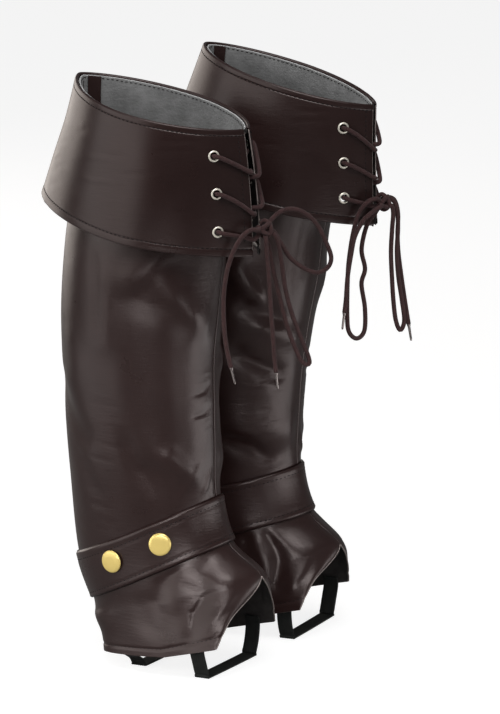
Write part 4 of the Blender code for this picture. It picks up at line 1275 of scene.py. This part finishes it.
def make_strap(cover):
    base = strap_base(cover)
    normals = surface_normals(base, leg_middle(cover, 8.5))
    widths = np.linalg.norm(base[-1] - base[0], axis=1)
    stitches(f"{cover.name}_strap_stitches", strap_lines(base, normals, widths))
    half = STRAP / 2
    rings = []
    for line, normal, width in zip(base.swapaxes(0, 1), normals.swapaxes(0, 1), widths / MM):
        spots = np.linspace(0.0, width, STRAP_WIDTH_STEPS + 1)
        from_edge = np.minimum(spots, width - spots)
        flat = 1.0 - np.clip(from_edge / STRAP_EDGE_RADIUS, 0.0, 1.0)
        swell = half * np.sqrt(np.clip(1.0 - flat ** 2, 0.0, 1.0))
        dip = STITCH_DIP * bell(from_edge - STITCH_INSET, STITCH_DIP_WIDTH)
        upper = line + normal * ((GAP + half + swell - dip) * MM)[:, None]
        lower = line + normal * ((GAP + half - swell) * MM)[:, None]
        rings.append(np.concatenate([upper, lower[-2:0:-1]]))
    return ring_body(f"{cover.name}_strap_leather", np.array(rings), leather, f"{cover.name}_strap")


straps = {cover.name: make_strap(cover) for cover in COVERS}

# %% [markdown]
# ## Turned fittings
#
# Eyelets, snap caps and aglets are round, so each is a profile spun about its axis.

# %% Spinning a profile
EYELET_RADIUS = 5.1
EYELET_HOLE = 3.1
SNAP_RADIUS = 10.0
SNAP_PLACES = ((101.0, 8.37), (62.0, 8.43))
AGLET_RADIUS = 1.8
AGLET_LENGTH = 15.0


def turned(name, profile, segments, centre, axis, finish, node):
    """A round piece from its profile, given as (radius, height) in millimetres."""
    bm = bmesh.new()
    verts = [bm.verts.new((radius * MM, 0.0, height * MM)) for radius, height in profile]
    edges = [bm.edges.new(pair) for pair in zip(verts, verts[1:])]
    if profile[0][0] > 0.0 and profile[-1][0] > 0.0:
        edges.append(bm.edges.new((verts[-1], verts[0])))
    bmesh.ops.spin(bm, geom=verts + edges, cent=(0, 0, 0), axis=(0, 0, 1), angle=math.tau,
                   steps=segments, use_merge=True, use_duplicate=False)
    bmesh.ops.remove_doubles(bm, verts=bm.verts, dist=1e-6)
    bmesh.ops.recalc_face_normals(bm, faces=bm.faces)
    turn = axis.to_track_quat("Z", "Y").to_matrix().to_4x4()
    bmesh.ops.transform(bm, matrix=Matrix.Translation(centre) @ turn, verts=bm.verts)
    return kept(name, bm, [finish], node)


def rounded(points, radius, steps=4):
    """A profile with its inner corners rounded by arcs of about a radius."""
    result = [points[0]]
    for corners in zip(points, points[1:], points[2:]):
        before, corner, after = map(Vector, corners)
        reach = min(radius, (before - corner).length * 0.45, (after - corner).length * 0.45)
        start = corner + (before - corner).normalized() * reach
        end = corner + (after - corner).normalized() * reach
        for share in (k / steps for k in range(steps + 1)):
            result.append(tuple(start.lerp(corner, share).lerp(corner.lerp(end, share), share)))
    return result + [points[-1]]


EYELET_PROFILE = rounded((
    (EYELET_HOLE + 0.35, -2.0), (EYELET_HOLE + 0.15, 0.2), (EYELET_HOLE + 0.25, 1.1),
    (EYELET_HOLE + 1.0, 1.35), (EYELET_RADIUS - 0.2, 0.85), (EYELET_RADIUS, 0.3), (EYELET_HOLE + 0.6, 0.25),
    (EYELET_HOLE + 0.6, -2.0)), 0.5)
for cover in COVERS:
    for number, level in enumerate(cover.eyelet_rows, start=1):
        for side in (OUTER, INNER):
            place = on_cuff(cover, side, cover.eyelet_reach, level)
            node = f"{cover.name}_eyelet_{SIDE_NAMES[side]}_{number}"
            turned(f"{node}_ring", EYELET_PROFILE, 40, *place, nickel, node)

# %% The snap caps
SNAP_PROFILE = rounded((
    (0.0, 0.0), (4.0, 0.0), (4.0, 1.0), (SNAP_RADIUS - 0.6, 1.2), (SNAP_RADIUS, 1.7),
    (SNAP_RADIUS - 0.3, 2.6), (SNAP_RADIUS - 1.6, 3.4), (SNAP_RADIUS * 0.5, 3.8), (0.0, 3.95)), 0.8)


def on_strap(cover, angle, level):
    """The leg's surface under the strap on the outer side, and its outward normal there."""
    angles = np.array([angle - 6.0, angle, angle + 6.0])
    levels = (level - 0.3, level, level + 0.3)
    points = placed(cover, *leg_surface(cover, OUTER, levels, angles, turn_in=SHARP))
    along, down = Vector(points[1][2] - points[1][0]), Vector(points[2][1] - points[0][1])
    normal = along.cross(down).normalized()
    return Vector(points[1][1]), (normal if normal.x * cover.side > 0.0 else -normal)


for cover in COVERS:
    for number, snap_place in enumerate(SNAP_PLACES, start=1):
        spot, normal = on_strap(cover, *snap_place)
        node = f"{cover.name}_snap_{number}"
        turned(f"{node}_cap", SNAP_PROFILE, 64, spot + normal * (GAP + STRAP) * MM, normal, gold, node)

# %% The aglets
AGLET_PROFILE = rounded((
    (0.0, -0.5), (AGLET_RADIUS - 0.1, 0.0), (AGLET_RADIUS - 0.2, 1.2), (AGLET_RADIUS - 0.6, 2.4),
    (AGLET_RADIUS - 0.8, 13.5), (AGLET_RADIUS - 1.1, AGLET_LENGTH), (0.0, AGLET_LENGTH)), 0.4)
for cover in COVERS:
    for tail in ("outer_tail", "front_tail"):
        route = lace_routes[f"{cover.name}_{tail}"]
        axis = Vector(route[-1] - route[-3]).normalized()
        node = f"{cover.name}_{tail}_aglet"
        turned(f"{node}_tip", AGLET_PROFILE, 24, Vector(route[-1]), axis, tip_metal, node)

# %% [markdown]
# ## The knots
#
# A bow knot is a short wrap of the lace over the crossing of its own ends. Three bends of the same cord
# make it: one round the middle, from front to back, and two that cross under it.

# %% Knots from bends of lace
KNOT_BENDS = (
    ((-3, -6, -4), (1, -7, -1), (4, -4, 3), (5, 0, 5), (4, 4, 4), (1, 7, 1), (-3, 6, -3)),
    ((-3, -6, 3), (1, -7, 0), (4, -4, -3), (5, 0, -4), (4, 4, -3), (1, 7, 0), (-3, 6, 3)),
    ((-4, -1, 4), (0, -1, 7), (4, -1, 5), (7, 0, 0), (5, 1, -5), (1, 1, -7), (-4, 1, -4)),
)
KNOT_STEP = 1.0 * MM
TIGHT = 0.95                   # how much thinner the lace is where it is pulled tight
for cover in COVERS:
    bm = bmesh.new()
    for number, bend in enumerate(KNOT_BENDS):
        points = [placed_point(cover, *(c + m for c, m in zip(point, KNOTS[cover.name]))) for point in bend]
        rings = tube_rings(smooth_route(points, KNOT_STEP), LACE_RADIUS * TIGHT * MM, LACE_SIDES)
        part = ring_body(f"{cover.name}_knot_bend_{number}", rings, lace_braid, uv_round=LACE_RADIUS)
        bm.from_mesh(part.data)
        bpy.data.objects.remove(part)
    kept(f"{cover.name}_knot_braid", bm, [lace_braid], f"{cover.name}_knot")

# %% [markdown]
# ## The elastics
#
# Two woven black bands pass under the sole from inside one panel's hem to the other's. Their upper face
# is ribbed lengthways, as woven elastic is.

# %% Elastic bands
ElasticPlace = namedtuple("ElasticPlace", "name angle forward sole_half_width")
ELASTICS = (ElasticPlace("front_elastic", 52.0, 80.0, 42.0), ElasticPlace("heel_elastic", 120.0, 12.0, 32.0))
UNDER_SOLE = -3.0              # the height of the bands where they pass under the sole
ELASTIC_WIDTH = 14.0
ELASTIC_WALL = ELASTIC - 0.2
ELASTIC_COLUMNS = 29
RIB_COUNT = 7
RIB_HEIGHT = 0.18
ELASTIC_INSET = LEATHER + GAP + ELASTIC + 1.6
elastics = {}


def elastic_half(cover, band, side):
    """The course of a band on one side, as places outward and up, from inside the hem to under the sole."""
    angles = np.array([band.angle, band.angle + 1.0])
    _, outward, up = leg_surface(cover, side, (FOOT_HEM_LINE, 12.0), angles, turn_in=SHARP)
    low_up = up[1][0]
    return [
        (outward[0][0] - side * ELASTIC_INSET, up[0][0]),
        (outward[1][0] - side * (ELASTIC_INSET + 0.4), low_up + 1.0),
        (side * (band.sole_half_width + 5.0), (low_up + UNDER_SOLE) / 2),
        (side * band.sole_half_width, UNDER_SOLE + 1.2),
        (side * (band.sole_half_width - 4.0), UNDER_SOLE),
    ]


for cover in COVERS:
    for band in ELASTICS:
        line = elastic_half(cover, band, OUTER) + elastic_half(cover, band, INNER)[::-1]
        route = smooth_route([(0.0, outward, up) for outward, up in line], 1.5)
        shifts = np.linspace(ELASTIC_WIDTH / 2, -ELASTIC_WIDTH / 2, ELASTIC_COLUMNS)
        ribs = RIB_HEIGHT * np.abs(np.sin(np.linspace(0.0, RIB_COUNT * math.pi, ELASTIC_COLUMNS)))
        forward = np.broadcast_to(band.forward + shifts[:, None], (ELASTIC_COLUMNS, len(route)))
        points = placed(cover, forward, *(np.broadcast_to(route[:, k], forward.shape) for k in (1, 2)))
        middle = placed_point(cover, band.forward, 0.0, 30.0)
        points = points + surface_normals(points, middle) * (ELASTIC_WALL + ribs[:, None, None]) * MM
        node = f"{cover.name}_{band.name}"
        elastics[node] = cloth(f"{node}_band", points, middle, [elastic_cloth], ELASTIC_WALL, node)

# %% [markdown]
# ## What each soft piece was cut from
#
# The sheets' sizes are the measured ones with what seams and hems take up; each cut is given once for
# both covers.

# %% The cords' far ends, and their routes looked up
FAR_ENDS = {"lacing": "knot", "wide_loop": "object", "long_loop": "object", "outer_tail": "fitting",
            "front_tail": "fitting"}
for cover in COVERS:
    for name, far_end in FAR_ENDS.items():
        key = f"{cover.name}_{name}"
        route = lace_routes[key]

# %% Sheets and their cuts, printed
Cut = namedtuple("Cut", "width length area", defaults=(None,))      # in metres and square metres
PANEL_CUT = Cut(0.236, 0.530, 0.104)              # tapers from rim to ankle, and is cut away over the toe
CUFF_CUT = Cut(0.530, 0.135, 0.066)               # a flared arc: its hem is the longer edge
LINING_CUT = Cut(0.420, 0.100, 0.036)             # a tube, cut a little wider at its top
BACK_STRIP_CUT = Cut(0.016, 0.095)
STRAP_CUT = Cut(0.381, 0.045)                     # folded double: the whole cut is twice as wide
ELASTIC_CUTS = {"front_elastic": Cut(0.014, 0.180), "heel_elastic": Cut(0.014, 0.142)}


def declare(piece, cut):
    """Prints a sheet's area, counted on one face, with its cut."""
    one_face = sum(face.area for face in piece.data.polygons) / 2
    print(piece.name, "covers", round(one_face, 4), "m2, cut", cut.width, "x", cut.length, "m")


for label in (cover.name for cover in COVERS):
    for side in (OUTER, INNER):
        declare(panels[label, side], PANEL_CUT)
    declare(cuffs[label], CUFF_CUT)
    declare(linings[label], LINING_CUT)
    declare(strips[label], BACK_STRIP_CUT)
    declare(straps[label], STRAP_CUT)
    for name, cut in ELASTIC_CUTS.items():
        declare(elastics[f"{label}_{name}"], cut)

# %% [markdown]
# ## Floor and light
#
# A pale floor, a weak even surrounding and soft rectangular lights. The leather shows these lights as
# its broad streaks of sheen, so each stands where the photograph's streak is mirrored from.

# %% The floor
FLOOR_HEIGHT = -0.105
FLOOR_GLOW = 0.83              # only the camera sees it, so that the floor stays pale and lights nothing
WHITE = (1.0, 1.0, 1.0)
bm = bmesh.new()
bmesh.ops.create_grid(bm, x_segments=1, y_segments=1, size=30.0)
bmesh.ops.translate(bm, vec=(0.0, 0.0, FLOOR_HEIGHT), verts=bm.verts)
floor = from_bmesh("floor", bm)
pale, tree, shader = new_material("pale floor", (0.9, 0.9, 0.9), 0.7, Specular_IOR_Level=0.1,
                                  Emission_Color=(*WHITE, 1.0))
seen = add_node(tree, "ShaderNodeLightPath").outputs["Is Camera Ray"]
tinted(tree, shader, seen, (0.30,) * 3, (0.36,) * 3)
tree.links.new(calculated(tree, "MULTIPLY", seen, FLOOR_GLOW), shader.inputs["Emission Strength"])
floor.data.materials.append(pale)

# %% The lights
world = bpy.data.worlds.new("studio")
world.use_nodes = True
surround = world.node_tree.nodes["Background"]
surround.inputs["Color"].default_value = (*WHITE, 1.0)
surround.inputs["Strength"].default_value = 0.12
bpy.context.scene.world = world
bpy.context.scene.view_settings.view_transform = "Standard"

# Each has its azimuth and elevation in degrees, its distance, its width and height in metres, its power,
# its colour, the height that it is aimed at and the angle of its spread.
SOFTBOXES = (
    ("behind", 156.0, 10.0, 1.8, 1.6, 1.15, 9.5, (1.0, 0.92, 0.85), 0.15, 180.0),
    ("left", -127.0, 16.0, 1.5, 1.8, 1.2, 8.6, (1.0, 1.0, 0.98), 0.15, 180.0),
    ("key", -60.0, 52.0, 1.3, 0.8, 0.5, 6.0, WHITE, 0.1, 180.0),
    ("foot side", -72.0, 3.0, 0.6, 0.36, 0.1, 0.15, WHITE, -0.04, 70.0),
    ("low left", -126.0, -14.0, 0.6, 0.5, 0.2, 0.25, WHITE, 0.15, 180.0),
    ("low front", -1.0, -11.0, 0.61, 0.4, 0.08, 0.24, WHITE, 0.15, 180.0),
    ("front left", -31.0, -10.0, 0.68, 0.2, 0.08, 0.12, WHITE, 0.05, 180.0),
    ("floor front", 12.0, -28.0, 0.5, 0.45, 0.25, 0.6, WHITE, 0.15, 180.0),
    ("above", -60.0, 80.0, 2.5, 2.4, 2.4, 20.0, WHITE, 0.15, 180.0),
)
LIGHT_TARGET = Vector((0.0, 0.0, 0.15))
for name, azimuth, elevation, distance, width, height, power, colour, aim, spread in SOFTBOXES:
    light = bpy.data.lights.new(name, "AREA")
    light.shape = "RECTANGLE"
    light.size, light.size_y = width, height
    light.energy, light.color = power, colour
    light.spread = math.radians(spread)
    lamp = added(name, light)
    lamp.location = LIGHT_TARGET + heading(azimuth, elevation) * distance
    lamp.rotation_euler = (lamp.location - Vector((0.0, 0.0, aim))).to_track_quat("Z", "Y").to_euler()
    lamp.visible_camera = False
print("lights:", len(SOFTBOXES))

# %% [markdown]
# ## The end
#
# Every node of the imported model has its piece.

# %% The last update of the scene
bpy.context.view_layer.update()
